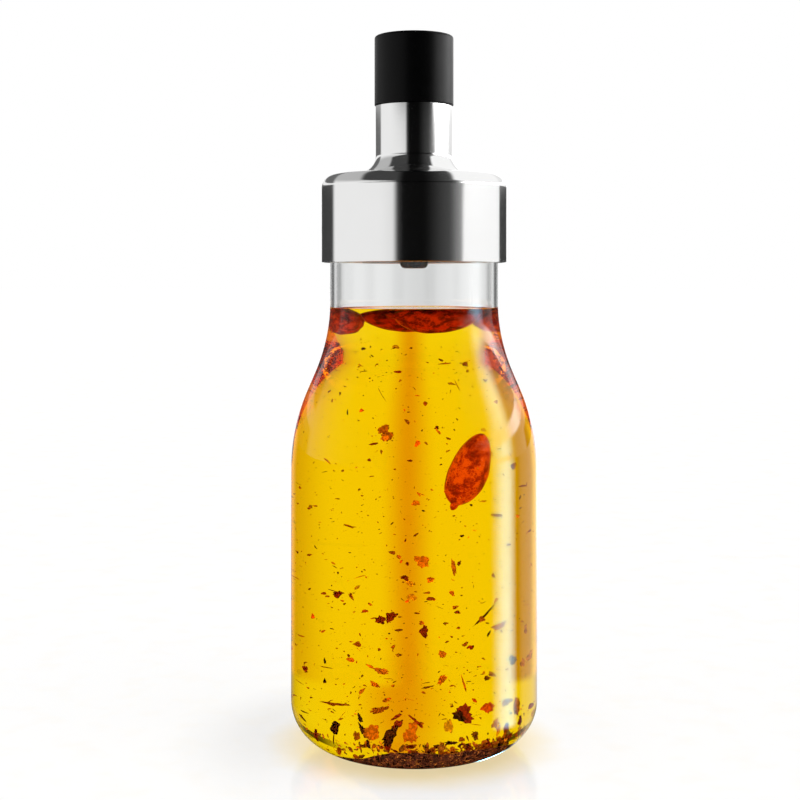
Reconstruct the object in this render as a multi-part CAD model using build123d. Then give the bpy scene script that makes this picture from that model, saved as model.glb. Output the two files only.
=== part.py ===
from build123d import *
import math
import os

# Salad dressing shaker bottle: a clear glass bottle full of dressing, with a steel and silicone
# pouring lid. Millimetres, +Z up, origin at the centre of the base on the surface it stands on.
# The lid plugs into the glass neck. The black cap pulls up on a stem to open the spout.

# Glass bottle
body_radius = 32.45
neck_radius = 22.2
neck_length = 26.63
glass_wall = 1.6
base_thickness = 2.2
base_corner_radius = 12.0
body_side_top = 72.9
shoulder_radius = 50.0
throat_radius = 48.0
shoulder_straight = 5.4
standing_ring_width = 3.45
punt_depth = 0.8
lip_rounding = 0.7

# What the bottle holds, with the fill line measured down from the rim of the glass.
# The berries float side by side in the neck, so their size is in shares of its bore radius.
fill_drop = 28.9
liquid_gap = 0.05
sediment_depth = 1.8
berry_length_share = 0.8932
berry_width_share = 0.398
berry_gap = 0.05

# Steel collar and spout, one spun piece
collar_side_height = 19.6
collar_corner_radius = 3.4
dome_slope = 5.9
spout_fillet_radius = 4.6
spout_radius = 10.15
spout_straight = 13.1
steel_thickness = 0.6
steel_edge_rounding = 0.2
shell_gap = 0.05

# Plastic core that carries the collar and plugs into the neck
flange_thickness = 4.2
skirt_gap = 0.3
skirt_wall = 1.31
skirt_recess = 0.5
plug_gap = 1.2
plug_length = 13.8
plug_wall = 1.8
plug_ledge = 1.0
clip_bead = 0.25
clip_bead_height = 0.5
press_gap = 0.05

# Silicone seals between the lid and the glass
seat_gap = 0.1
gasket_thickness = 1.2
seal_gap = 0.1
seal_height = 2.0
seal_groove_depth = 0.9
seal_rounding = 0.6
lower_seal_rise = 1.6
seal_spacing = 5.4

# Pouring tube, drip ring and strainer
tube_gap = 0.1
tube_wall = 1.2
tube_flange_width = 3.55
tube_flange_thickness = 2.0
drip_ring_height = 1.8
drip_ring_rounding = 0.5
guide_height = 3.5
guide_rim_width = 1.2
guide_spoke_width = 1.6
guide_spokes = 3
hub_wall = 0.35
strainer_thickness = 0.5
strainer_hole_radius = 0.75
strainer_hole_pitch = 2.6
strainer_first_row = 5.0

# Cap, stem and stop
cap_overhang = 0.3
cap_height = 18.35
cap_edge_rounding = 0.75
cap_skirt_rounding = 0.2
cap_sleeve_wall = 1.5
cap_top_thickness = 1.6
cap_gap = 0.1
cap_travel = 9.5
core_shoulder_gap = 0.1
core_plug_gap = 0.2
core_plug_length = 5.6
core_pocket_floor = 2.5
core_wall = 1.6
stem_radius = 2.0
stem_engagement = 9.6
stem_running_gap = 0.05
stem_boss_wall = 1.6
stem_thread_gap = 0.03
stop_wall = 1.7
stop_height = 4.2
stop_rounding = 1.3
stop_thread_depth = 2.6
o_ring_section = 0.6
o_ring_gap = 0.1
o_ring_first_rise = 1.4
o_ring_spacing = 1.9
grip_ring_section = 0.5

# Cuts run past the face that they open by this much
overrun = 1.0

# The shoulder is an arc, a short straight and a hollow arc, tangent to each other
arc_radii = shoulder_radius + throat_radius
radius_step = body_radius - neck_radius
shoulder_turn = math.acos((arc_radii - radius_step) / math.hypot(arc_radii, shoulder_straight))
shoulder_angle = shoulder_turn - math.atan2(shoulder_straight, arc_radii)
shoulder_rise = arc_radii * math.sin(shoulder_angle) + shoulder_straight * math.cos(shoulder_angle)
neck_start = body_side_top + shoulder_rise
glass_height = neck_start + neck_length
fill_height = glass_height - fill_drop

# Heights and radii that follow from the sizes above, from the glass upwards
punt_radius = body_radius - base_corner_radius - standing_ring_width
cavity_neck_radius = neck_radius - glass_wall
berry_length = cavity_neck_radius * berry_length_share
berry_width = cavity_neck_radius * berry_width_share
gasket_bottom = glass_height + seat_gap
flange_bottom = gasket_bottom + gasket_thickness
core_top = flange_bottom + flange_thickness
core_inset = steel_thickness + shell_gap
skirt_inner_radius = neck_radius + skirt_gap
collar_radius = skirt_inner_radius + skirt_wall + core_inset
collar_corner_height = core_top - (collar_corner_radius - core_inset)
collar_bottom = collar_corner_height - collar_side_height
plug_bottom = flange_bottom - plug_length
plug_radius = cavity_neck_radius - plug_gap
plug_bore = plug_radius - plug_wall
ledge_bore = plug_bore - plug_ledge
tube_flange_bottom = flange_bottom - tube_flange_thickness
strainer_top = tube_flange_bottom - guide_height
strainer_bottom = strainer_top - strainer_thickness
tube_outer_radius = spout_radius - steel_thickness - tube_gap
tube_flange_radius = tube_outer_radius + tube_flange_width
tube_bore = tube_outer_radius - tube_wall
stem_bore = stem_radius + stem_running_gap
grip_groove_radius = stem_bore + 2 * grip_ring_section
hub_radius = grip_groove_radius + hub_wall
stop_radius = stem_radius + stop_wall
cap_radius = spout_radius + cap_overhang
stop_top = strainer_bottom - cap_travel
stop_bottom = stop_top - stop_height

# The spout's fillet sits where the sloping dome meets the straight spout
slope = math.radians(dome_slope)
dome_edge_radius = collar_radius - collar_corner_radius * (1 - math.sin(slope))
dome_edge_height = collar_corner_height + collar_corner_radius * math.cos(slope)
fillet_centre_radius = spout_radius + spout_fillet_radius
dome_run = dome_edge_radius + spout_fillet_radius * math.sin(slope) - fillet_centre_radius
fillet_height = dome_edge_height + dome_run * math.tan(slope) + spout_fillet_radius * math.cos(slope)
spout_top = fillet_height + spout_straight
cap_bottom = spout_top + cap_gap
cap_top = cap_bottom + cap_height
core_shoulder = cap_bottom + core_shoulder_gap
core_plug_bottom = core_shoulder - core_plug_length
core_plug_radius = tube_bore - core_plug_gap

# Each berry: name, length share, sideways and front-to-back shares of the neck's bore,
# depth of its middle under the fill line as a share of its width, turn about Z and tilt in degrees
berry_shares = [
    ("berry_floating_front", 1.0, 0.19, -0.02, 0.52, 3, 0),
    ("berry_floating_left", 0.86, -0.62, 0.10, 0.56, 74, 5),
    ("berry_floating_right", 0.78, 0.62, 0.42, 0.55, 118, 4),
    ("berry_floating_back", 0.94, -0.02, 0.62, 0.56, 12, 3),
    ("berry_sinking", 1.0, 0.52, -0.38, 5.15, -12, 72),
]


def at(radius, height):
    """Point of an outline, at a radius from the axis and a height above the base."""
    return Vector(radius, 0, height)


def arc(centre, radius, start, end):
    """Round stretch of an outline between two angles in radians, from level outwards."""
    angles = (start, (start + end) / 2, end)
    places = [centre + at(radius * math.cos(a), radius * math.sin(a)) for a in angles]
    return ThreePointArc(*places)


def turned(edges):
    """Solid made by turning a closed outline about the vertical axis."""
    return revolve(make_face(edges), Axis.Z)


def disc(radius, bottom, top):
    """Plain cylinder about the axis."""
    shape = Cylinder(radius, top - bottom, align=(Align.CENTER, Align.CENTER, Align.MIN))
    return Pos(0, 0, bottom) * shape


def ring(inner, outer, bottom, top):
    """Plain ring about the axis."""
    return disc(outer, bottom, top) - disc(inner, bottom - overrun, top + overrun)


def o_ring(section, outer, height):
    """Round silicone ring whose outside reaches the given radius."""
    return Pos(0, 0, height) * Torus(outer - section, section)


def bottle_form(inset):
    """The bottle's whole outer form, moved inwards by inset, with a flat floor."""
    corner = at(body_radius - base_corner_radius, base_corner_radius)
    shoulder = at(body_radius - shoulder_radius, body_side_top)
    throat = at(neck_radius + throat_radius, neck_start)
    heel = arc(corner, base_corner_radius - inset, -math.pi / 2, 0)
    bulge = arc(shoulder, shoulder_radius - inset, 0, shoulder_angle)
    hollow = arc(throat, throat_radius + inset, math.pi + shoulder_angle, math.pi)
    floor = Line(at(0, inset), heel @ 0)
    side = Line(heel @ 1, bulge @ 0)
    slant = Line(bulge @ 1, hollow @ 0)
    neck = Line(hollow @ 1, at(neck_radius - inset, glass_height))
    lid = Line(neck @ 1, at(0, glass_height))
    axis = Line(at(0, glass_height), at(0, inset))
    return turned([floor, heel, side, bulge, slant, hollow, neck, lid, axis])


def slab(bottom, top):
    """Wide disc between two heights, to keep part of a form."""
    return disc(body_radius + overrun, bottom, top)


def bottle_glass():
    """Clear glass bottle with a shallow punt and a rounded lip."""
    cavity = bottle_form(glass_wall) & slab(base_thickness, glass_height)
    mouth = disc(cavity_neck_radius, glass_height - overrun, glass_height + overrun)
    glass = bottle_form(0) - cavity - mouth
    rise = ThreePointArc(at(-punt_radius, 0), at(0, punt_depth), at(punt_radius, 0))
    half = rise.trim(0.5, 1)
    below = Polyline(half @ 1, at(punt_radius, -overrun), at(0, -overrun), half @ 0)
    glass -= turned([half, below])
    lip = glass.edges().filter_by(GeomType.CIRCLE).group_by(Axis.Z)[-1]
    return fillet(lip, lip_rounding)


def berry(length, width, turn, tilt, x, y, z, gap=0):
    """Swollen berry as an egg-shaped solid, with its long axis tilted out of level."""
    rim = EllipticalCenterArc((0, 0), length / 2 + gap, width / 2 + gap, arc_size=180)
    body = revolve(make_face([rim, Line(rim @ 1, rim @ 0)]), Axis.X)
    return Pos(x, y, z) * Rot(0, 0, turn) * Rot(0, -tilt, 0) * body


def berries(gap=0):
    """All berries by name, grown by gap when they are used as cavities."""
    made = {}
    for name, length_share, x_share, y_share, depth_share, turn, tilt in berry_shares:
        length = berry_length * length_share
        height = fill_height - berry_width * depth_share
        place = (cavity_neck_radius * x_share, cavity_neck_radius * y_share, height)
        made[name] = berry(length, berry_width, turn, tilt, *place, gap)
    return made


def herb_sediment():
    """Bed of settled herbs and spices on the bottle's floor."""
    bottom = base_thickness + liquid_gap
    return bottle_form(glass_wall + liquid_gap) & slab(bottom, bottom + sediment_depth)


def dressing():
    """Oil from the top of the sediment to the fill line, with a cavity round each berry."""
    bottom = base_thickness + liquid_gap + sediment_depth
    oil = bottle_form(glass_wall + liquid_gap) & slab(bottom, fill_height)
    for cavity in berries(berry_gap).values():
        oil -= cavity
    return oil


def collar_form(inset, top):
    """The collar and spout as a filled form, moved inwards by inset, up to a height."""
    corner = at(collar_radius - collar_corner_radius, collar_corner_height)
    hollow = at(fillet_centre_radius, fillet_height)
    rim = arc(corner, collar_corner_radius - inset, 0, math.pi / 2 - slope)
    fillet_arc = arc(hollow, spout_fillet_radius + inset, 1.5 * math.pi - slope, math.pi)
    side = Line(at(collar_radius - inset, collar_bottom), rim @ 0)
    dome = Line(rim @ 1, fillet_arc @ 0)
    spout = Line(fillet_arc @ 1, at(spout_radius - inset, spout_top))
    lid = Line(spout @ 1, at(0, spout_top))
    axis = Line(at(0, spout_top), at(0, collar_bottom))
    floor = Line(at(0, collar_bottom), side @ 0)
    return turned([side, rim, dome, fillet_arc, spout, lid, axis, floor]) & slab(collar_bottom, top)


def collar_shell():
    """Spun steel collar, dome and spout with softened edges at both ends."""
    bore = disc(spout_radius - steel_thickness, spout_top - overrun, spout_top + overrun)
    mouth = disc(collar_radius - steel_thickness, collar_bottom - overrun, collar_bottom)
    shell = collar_form(0, spout_top) - collar_form(steel_thickness, spout_top) - bore - mouth
    rims = shell.edges().filter_by(GeomType.CIRCLE).group_by(Axis.Z)
    return fillet(rims[0] + rims[-1], steel_edge_rounding)


def seal_heights():
    """Bottom of each plug seal."""
    first = plug_bottom + lower_seal_rise
    return [first, first + seal_spacing]


def lid_core():
    """Black plastic core: flange, skirt lining the collar, and plug with two seal grooves."""
    core = collar_form(core_inset, core_top)
    core -= slab(collar_bottom - overrun, collar_bottom + skirt_recess)
    core -= ring(plug_radius, skirt_inner_radius, collar_bottom - overrun, flange_bottom)
    core -= disc(plug_radius + overrun, collar_bottom - overrun, plug_bottom)
    core -= disc(ledge_bore, plug_bottom - overrun, flange_bottom)
    core -= disc(plug_bore, plug_bottom - overrun, strainer_top)
    bead_top = strainer_bottom - press_gap
    core += ring(plug_bore - clip_bead, plug_bore, bead_top - clip_bead_height, bead_top)
    core -= disc(tube_outer_radius + press_gap, flange_bottom - overrun, core_top + overrun)
    for bottom in seal_heights():
        core -= ring(plug_radius - seal_groove_depth, plug_radius + overrun, bottom, bottom + seal_height)
    return core


def plug_seal(bottom):
    """Silicone ring in a groove of the plug, rounded where it meets the glass."""
    outer = cavity_neck_radius - seal_gap
    seal = ring(plug_radius - seal_groove_depth, outer, bottom, bottom + seal_height)
    edges = seal.edges().filter_by(GeomType.CIRCLE).group_by(SortBy.RADIUS)[-1]
    return fillet(edges, seal_rounding)


def rim_gasket():
    """Flat silicone ring under the flange that rests on the glass lip."""
    outer = skirt_inner_radius - press_gap
    return ring(plug_radius + press_gap, outer, gasket_bottom, flange_bottom)


def pour_tube():
    """Plastic tube that lines the spout, with a flange under the core."""
    tube = disc(tube_outer_radius, tube_flange_bottom, spout_top - drip_ring_height)
    tube += disc(tube_flange_radius, tube_flange_bottom, flange_bottom)
    return tube - disc(tube_bore, tube_flange_bottom - overrun, spout_top)


def drip_ring():
    """Silicone ring that closes the gap between tube and steel at the pouring edge."""
    outer = spout_radius - steel_thickness - press_gap
    lip = ring(tube_bore, outer, spout_top - drip_ring_height, spout_top)
    edge = lip.edges().filter_by(GeomType.CIRCLE).group_by(Axis.Z)[-1].sort_by(SortBy.RADIUS)[0]
    return fillet(edge, drip_ring_rounding)


def strainer_disc():
    """Perforated steel disc across the plug that holds back herbs and berries."""
    plate = ring(stem_bore, plug_bore - press_gap, strainer_bottom, strainer_top)
    row_radius = strainer_first_row
    while row_radius < ledge_bore - guide_rim_width - strainer_hole_radius:
        holes = int(2 * math.pi * row_radius / strainer_hole_pitch)
        drill = disc(strainer_hole_radius, strainer_bottom - overrun, strainer_top + overrun)
        plate -= PolarLocations(row_radius, holes) * drill
        row_radius += strainer_hole_pitch
    return plate


def grip_ring_height():
    """The grip ring lies at half the guide's height."""
    return strainer_top + guide_height / 2


def stem_guide():
    """Plastic spider on the strainer that keeps the stem central, with a groove in its hub."""
    rim_radius = ledge_bore - press_gap
    guide = ring(rim_radius - guide_rim_width, rim_radius, strainer_top, tube_flange_bottom)
    guide += disc(hub_radius, strainer_top, tube_flange_bottom)
    spoke_length = rim_radius - guide_rim_width / 2
    spoke = Box(spoke_length, guide_spoke_width, guide_height, align=(Align.MIN, Align.CENTER, Align.MIN))
    for index in range(guide_spokes):
        guide += Pos(0, 0, strainer_top) * Rot(0, 0, 360 * index / guide_spokes) * spoke
    guide -= disc(stem_bore, strainer_top - overrun, tube_flange_bottom + overrun)
    middle = grip_ring_height()
    return guide - disc(grip_groove_radius, middle - grip_ring_section, middle + grip_ring_section)


def stem_grip_ring():
    """Silicone ring in the guide's hub that holds the raised cap while pouring."""
    return o_ring(grip_ring_section, grip_groove_radius, grip_ring_height())


def o_ring_heights():
    """Middle of each ring on the cap's plug."""
    first = core_plug_bottom + o_ring_first_rise
    return [first, first + o_ring_spacing]


def o_ring_outer_radius():
    """Both rings of the cap's plug reach almost to the tube's bore."""
    return tube_bore - o_ring_gap


def cap_core():
    """Plastic heart of the cap: a plug for the tube, a boss for the stem and a hollow above."""
    inner_top = cap_top - cap_top_thickness
    outer = cap_radius - cap_sleeve_wall
    core = disc(outer, core_shoulder, inner_top)
    core += disc(core_plug_radius, core_plug_bottom, core_shoulder)
    core -= disc(outer - core_wall, core_shoulder + core_pocket_floor, inner_top + overrun)
    stem_top = core_shoulder + stem_engagement
    core += disc(stem_radius + stem_boss_wall, core_shoulder, stem_top + stem_boss_wall)
    core -= disc(stem_radius + stem_thread_gap, core_plug_bottom - overrun, stem_top)
    for height in o_ring_heights():
        inner = o_ring_outer_radius() - 2 * o_ring_section
        bottom = height - o_ring_section
        core -= ring(inner, core_plug_radius + overrun, bottom, bottom + 2 * o_ring_section)
    return core


def cap_sleeve():
    """Black silicone cup pulled over the core, with a soft top edge."""
    cup = disc(cap_radius, cap_bottom, cap_top)
    edges = cup.edges().filter_by(GeomType.CIRCLE).sort_by(Axis.Z)
    cup = fillet(edges[-1], cap_edge_rounding)
    cup = fillet(cup.edges().filter_by(GeomType.CIRCLE).sort_by(Axis.Z)[0], cap_skirt_rounding)
    return cup - disc(cap_radius - cap_sleeve_wall, cap_bottom - overrun, cap_top - cap_top_thickness)


def valve_stem():
    """Steel rod from the stop up through the spout into the cap's core."""
    bottom = stop_top - stop_thread_depth
    return disc(stem_radius, bottom, core_shoulder + stem_engagement - stem_thread_gap)


def stem_stop():
    """Dark domed nut on the stem's foot that stops the cap's lift against the strainer."""
    nut = disc(stop_radius, stop_bottom, stop_top)
    nut = fillet(nut.edges().filter_by(GeomType.CIRCLE).sort_by(Axis.Z)[0], stop_rounding)
    bore_bottom = stop_top - stop_thread_depth - stem_thread_gap
    return nut - disc(stem_radius + stem_thread_gap, bore_bottom, stop_top + overrun)


def all_nodes():
    """Every node of the bottle by name."""
    lower_seal, upper_seal = seal_heights()
    lower_ring, upper_ring = o_ring_heights()
    nodes = {
        "bottle_glass": bottle_glass(),
        "dressing": dressing(),
        "herb_sediment": herb_sediment(),
        "collar_shell": collar_shell(),
        "lid_core": lid_core(),
        "plug_seal_lower": plug_seal(lower_seal),
        "plug_seal_upper": plug_seal(upper_seal),
        "rim_gasket": rim_gasket(),
        "pour_tube": pour_tube(),
        "drip_ring": drip_ring(),
        "strainer_disc": strainer_disc(),
        "stem_guide": stem_guide(),
        "stem_grip_ring": stem_grip_ring(),
        "cap_sleeve": cap_sleeve(),
        "cap_core": cap_core(),
        "cap_o_ring_lower": o_ring(o_ring_section, o_ring_outer_radius(), lower_ring),
        "cap_o_ring_upper": o_ring(o_ring_section, o_ring_outer_radius(), upper_ring),
        "valve_stem": valve_stem(),
        "stem_stop": stem_stop(),
    }
    nodes.update(berries())
    return nodes


os.makedirs("parts", exist_ok=True)
for node_name, solid in all_nodes().items():
    export_step(solid, f"parts/{node_name}.step")
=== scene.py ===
# %% [markdown]
# Salad dressing shaker bottle, dressed for its picture. A clear glass bottle holds golden oil with
# berries, chilli and herbs in it, and a polished steel lid with a black silicone cap closes it.
# The frame holds the real solids. Each cell below makes one piece or one finish and says why.

# %% Load the frame
import math

import bpy
import numpy as np
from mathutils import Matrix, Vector


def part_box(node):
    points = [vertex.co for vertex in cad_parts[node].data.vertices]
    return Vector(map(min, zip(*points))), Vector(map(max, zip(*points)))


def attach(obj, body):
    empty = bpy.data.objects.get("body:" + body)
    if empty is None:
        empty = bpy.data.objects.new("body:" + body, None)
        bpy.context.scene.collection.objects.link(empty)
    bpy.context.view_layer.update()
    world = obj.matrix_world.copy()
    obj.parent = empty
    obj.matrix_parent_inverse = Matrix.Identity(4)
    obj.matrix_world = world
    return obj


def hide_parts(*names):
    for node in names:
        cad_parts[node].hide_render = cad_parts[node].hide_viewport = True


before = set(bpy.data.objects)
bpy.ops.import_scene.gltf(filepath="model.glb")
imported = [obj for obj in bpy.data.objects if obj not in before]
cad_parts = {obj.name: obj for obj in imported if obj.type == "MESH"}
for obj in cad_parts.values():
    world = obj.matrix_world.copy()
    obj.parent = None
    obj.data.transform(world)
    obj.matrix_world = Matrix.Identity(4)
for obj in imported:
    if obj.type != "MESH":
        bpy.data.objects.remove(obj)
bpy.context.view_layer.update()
MM = 0.001
SEED = 7
rng = np.random.default_rng(SEED)


def stood(name, data):
    """Object that holds a mesh, a lens or a lamp, linked into the scene."""
    made = bpy.data.objects.new(name, data)
    bpy.context.scene.collection.objects.link(made)
    return made


# %% [markdown]
# Sizes. The heights and outer radii come from the solids themselves, so the pieces here can't drift
# away from them. Only the sizes that a box can't tell, such as a wall or a corner's rounding, are
# written down, in millimetres like the real drawing.

# %% Sizes
GLASS_WALL = 1.6
BASE_THICKNESS = 2.2
HEEL_RADIUS = 12.0
SIDE_TOP = 72.9
SHOULDER_RADIUS = 50.0
THROAT_RADIUS = 48.0
SHOULDER_STRAIGHT = 5.4


def radius_of(node):
    """Outer radius of a round node, in millimetres."""
    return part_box(node)[1].x / MM


def heights_of(node):
    """Lowest and highest point of a node, in millimetres."""
    low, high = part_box(node)
    return low.z / MM, high.z / MM


body_radius = radius_of("bottle_glass")
glass_height = heights_of("bottle_glass")[1]
fill_height = heights_of("dressing")[1]
collar_radius = radius_of("collar_shell")
collar_bottom, spout_top = heights_of("collar_shell")
print("body", round(body_radius, 2), "glass", round(glass_height, 2), "fill", round(fill_height, 2))
print("collar", round(collar_radius, 2), "from", round(collar_bottom, 2), "to", round(spout_top, 2))

# %% [markdown]
# The camera stands level with the neck, just above the oil, six body widths away, with a long lens. It
# looks straight ahead and its film is shifted, so the bottle's sides stay upright, as they do on a studio
# camera. Its height follows from how much the collar's foot, the cap's edge and the base curve in the
# picture. A ray that enters the bottle meets many walls before it is out again, so it may turn often:
# with the usual dozen turns the shoulders and the heel would go black.

# %% Camera
FRAME_WIDTH = 800
SENSOR_WIDTH = 36
CAMERA_DISTANCE = 386.5
CAMERA_HEIGHT = 121.33
CAMERA_YAW = 0.55
CAMERA_LENS = 65.7
CAMERA_SHIFT = -0.14663
GLASS_TURNS = 40
MIRROR_TURNS = 16

lens = bpy.data.cameras.new("camera")
lens.sensor_width = SENSOR_WIDTH
lens.lens = CAMERA_LENS
lens.shift_y = CAMERA_SHIFT
camera = stood("camera", lens)
camera.location = Vector((0, -CAMERA_DISTANCE, CAMERA_HEIGHT)) * MM
camera.rotation_euler = (math.radians(90), 0, math.radians(CAMERA_YAW))
bpy.context.scene.camera = camera
bpy.context.scene.view_settings.view_transform = "Standard"
bpy.context.scene.cycles.max_bounces = GLASS_TURNS
bpy.context.scene.cycles.transmission_bounces = GLASS_TURNS
bpy.context.scene.cycles.glossy_bounces = MIRROR_TURNS
print("camera", [round(v, 4) for v in camera.location], "lens", lens.lens)

# %% [markdown]
# Shader sums. A finish is mostly arithmetic on coordinates and noise. Wiring every Math node by hand
# hides the sum, so a socket is wrapped in a small class whose + - * / add the nodes. Any other node
# comes from one method that takes its kind, its settings and its inputs.

# %% Sockets that add up


class Socket:
    """One output socket of a node tree, or the tree alone. Arithmetic on it adds Math nodes."""

    def __init__(self, tree, output=None):
        self.tree = tree
        self.output = output

    def node(self, kind, settings=None, inputs=None, output=0):
        """Adds a node of a kind, sets it, feeds its inputs and returns one of its outputs."""
        made = self.tree.nodes.new("ShaderNode" + kind)
        for name, value in (settings or {}).items():
            if name == "stops":
                ramp = made.color_ramp.elements
                while len(ramp) < len(value):
                    ramp.new(1)
                for element, (place, colour) in zip(ramp, value):
                    element.position = place
                    element.color = (*colour, 1)
            else:
                setattr(made, name, value)
        for name, value in (inputs or {}).items():
            if isinstance(value, Socket):
                self.tree.links.new(value.output, made.inputs[name])
            else:
                made.inputs[name].default_value = value
        return Socket(self.tree, made.outputs[output]) if made.outputs else None

    def axes(self):
        """The x, y and z of a vector socket."""
        split = self.node("SeparateXYZ", inputs={0: self})
        return [Socket(self.tree, port) for port in split.output.node.outputs]

    def math(self, operation, *values):
        """A Math node on this socket or on the values that are given."""
        return self.node("Math", {"operation": operation}, dict(enumerate(values)))

    def __add__(self, other):
        return self.math("ADD", self, other)

    def __sub__(self, other):
        return self.math("SUBTRACT", self, other)

    def __rsub__(self, other):
        return self.math("SUBTRACT", other, self)

    def __mul__(self, other):
        return self.math("MULTIPLY", self, other)

    def __truediv__(self, other):
        return self.math("DIVIDE", self, other)

    __radd__ = __add__
    __rmul__ = __mul__

    def rise(self, start, end):
        """0 below start, 1 above end and a smooth step between them."""
        steps = {"From Min": start, "From Max": end, "To Min": 0.0, "To Max": 1.0, "Value": self}
        return self.node("MapRange", {"interpolation_type": "SMOOTHSTEP"}, steps)

    def band(self, start, end, soft):
        """1 between start and end, 0 outside, with soft edges."""
        return self.rise(start - soft, start + soft) * (1 - self.rise(end - soft, end + soft))

    def mix(self, factor, first, second):
        """Colour between two colours or grey levels."""
        inputs = {0: factor, 6: colour(first), 7: colour(second)}
        return self.node("Mix", {"data_type": "RGBA"}, inputs, 2)


def colour(value):
    """A socket as it is, a number as a grey and three numbers as an opaque colour."""
    if isinstance(value, Socket):
        return value
    if isinstance(value, (int, float)):
        return (value, value, value, 1)
    return (*value, 1)


# %% [markdown]
# The room is the studio that the glass and steel show: a bright strip to the right, a pale wall to the
# left and something black in front. They could be cards in the scene, but cards are hard to keep out
# of the glass. Here the world itself has that pattern, by the direction of the
# rays that glass and steel send out. The camera sees plain white, and plain surfaces are lit by a plain
# grey level. This first part is what shows through the bottle: the round oil works as a lens, so what
# stands far to the right shows at its left edge. Every stripe has a start and an end in degrees.

# %% Room behind
PALE_BACK = (0.93, 0.89, 0.84)
WARM_GAP = (0.78, 0.46, 0.26)
WARM_LEFT = (0.56, 0.38, 0.19)
WARM_RIGHT = (0.79, 0.66, 0.36)
EDGE_GLARE = (1.8, 1.35, 0.95)
GAP_BAND = -2.4, 5.6, 4.4
RIGHT_RISE = 22, 52
LEFT_BAND = -62, -37, 6
GLARE_RISE, GLARE_FALL = (60, 80), (95, 140)
NECK_GREY, NECK_DIP, NECK_LIFT, NECK_FLAG = 0.815, 0.165, 0.06, 0.10
NECK_DIP_BAND, NECK_LIFT_RISE, NECK_FLAG_BAND = (-1.1, 2.2, 2.0), (3.4, 4.6), (15, 31, 5)
SQUARE_TURN = 45


def shown_behind(start, aside):
    """White background with warm dim gaps, by degrees aside of straight behind, right positive."""
    backdrop = start.mix(aside.band(*GAP_BAND), PALE_BACK, WARM_GAP)
    backdrop = start.mix(aside.rise(*RIGHT_RISE), backdrop, WARM_RIGHT)
    backdrop = start.mix(aside.band(*LEFT_BAND), backdrop, WARM_LEFT)
    far = start.math("ABSOLUTE", aside)
    backdrop = start.mix(far.rise(*GLARE_RISE), backdrop, EDGE_GLARE)
    return start.mix(far.rise(*GLARE_FALL), backdrop, PALE_BACK)


def neck_backdrop(start, around, aside):
    """What shows through the empty neck: a pale backdrop, dimmer in its middle, between dark flags.

    The flags come back every quarter turn, so that every side of the neck has dark edges."""
    grey = NECK_GREY - NECK_DIP * aside.band(*NECK_DIP_BAND) + NECK_LIFT * aside.rise(*NECK_LIFT_RISE)
    off_square = start.math("PINGPONG", around, SQUARE_TURN)
    return start.mix(off_square.band(*NECK_FLAG_BAND), grey, NECK_FLAG)


# %% [markdown]
# What glass and steel mirror is laid out by the side that they face: a pale wall on the left, black in
# front, a bright strip on the right and dark flags beyond. Measured that way, the stripes run straight
# over the collar's rounded shoulder and the spout's foot, as they do in the picture. Degrees run
# from 0 towards the camera, to the right, and up is the height of a direction, from -1 to 1. The spout,
# the neck and the cap mirror bands of the room at other heights than the collar, so each band has
# its own edges and levels.

# %% Room above the oil
STRIP_ON_NECK = 10.0
STRIP_ON_OIL = (7.0, 18.0, 24.0)
STRIP_ABOVE = (9.0, 13.0, 15.0)
PALE_WALL, WALL_FADE, WALL_DIM = 0.88, 0.08, 0.45
FLAG, FLAG_ON_SPOUT, SPOUT_FLAG_LOSS = 0.05, 0.09, 0.8
STRIP_RISE, STRIP_FALL, STRIP_HEIGHTS = (72, 86), (91, 108.5), (0.0, 0.3)
SPOUT_HEIGHTS, STEEP_HEIGHTS, WALL_HEIGHTS = (0.06, 0.09), (0.25, 0.5), (0.2, 0.5)
NECK_HEIGHTS, CAP_HEIGHTS = (-0.03, 0.016, 0.006), (0.125, 0.22, 0.015)
DARK_START, DARK_END, WALL_START, WALL_END = (-26, -20), (58.6, 64.6), (-121.5, -113.5), (-27, -19)
SPOUT_SHIFT, STEEP_SHIFT, STEEP_TURN = 3.8, 16, 45
FRONT_LEVEL, FRONT_EDGE, FRONT_MIDDLE, FRONT_RIGHT = 0.004, 0.05, 0.07, 0.24
FRONT_EDGE_FALL, FRONT_MIDDLE_RISE, FRONT_RIGHT_RISE = (-23, -12), (10, 55), (42, 64)
WALL_FADE_RISE = -45, -23
RIGHT_FLAG_RISE, LEFT_FLAG_FALL = (128, 133), (-122, -113)
BEHIND_RISE, BEHIND_FALL = (164, 168), (-168, -164)
CAP_LEFT, CAP_STRIP, CAP_RIGHT = 0.9, 10, 1.7
CAP_LEFT_FALL, CAP_STRIP_BAND, CAP_RIGHT_RISE = (-80, -30), (66, 126, 14), (126, 140)


def strip_light(facing):
    """Share of the bright strip at a facing."""
    return facing.rise(*STRIP_RISE) * (1 - facing.rise(*STRIP_FALL))


def mirrored_on_cap(facing):
    """What the cap's dull silicone mirrors: a dim left side, a bright strip and a paler right end."""
    left = CAP_LEFT * (1 - facing.rise(*CAP_LEFT_FALL))
    return left + CAP_STRIP * facing.band(*CAP_STRIP_BAND) + CAP_RIGHT * facing.rise(*CAP_RIGHT_RISE)


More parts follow.
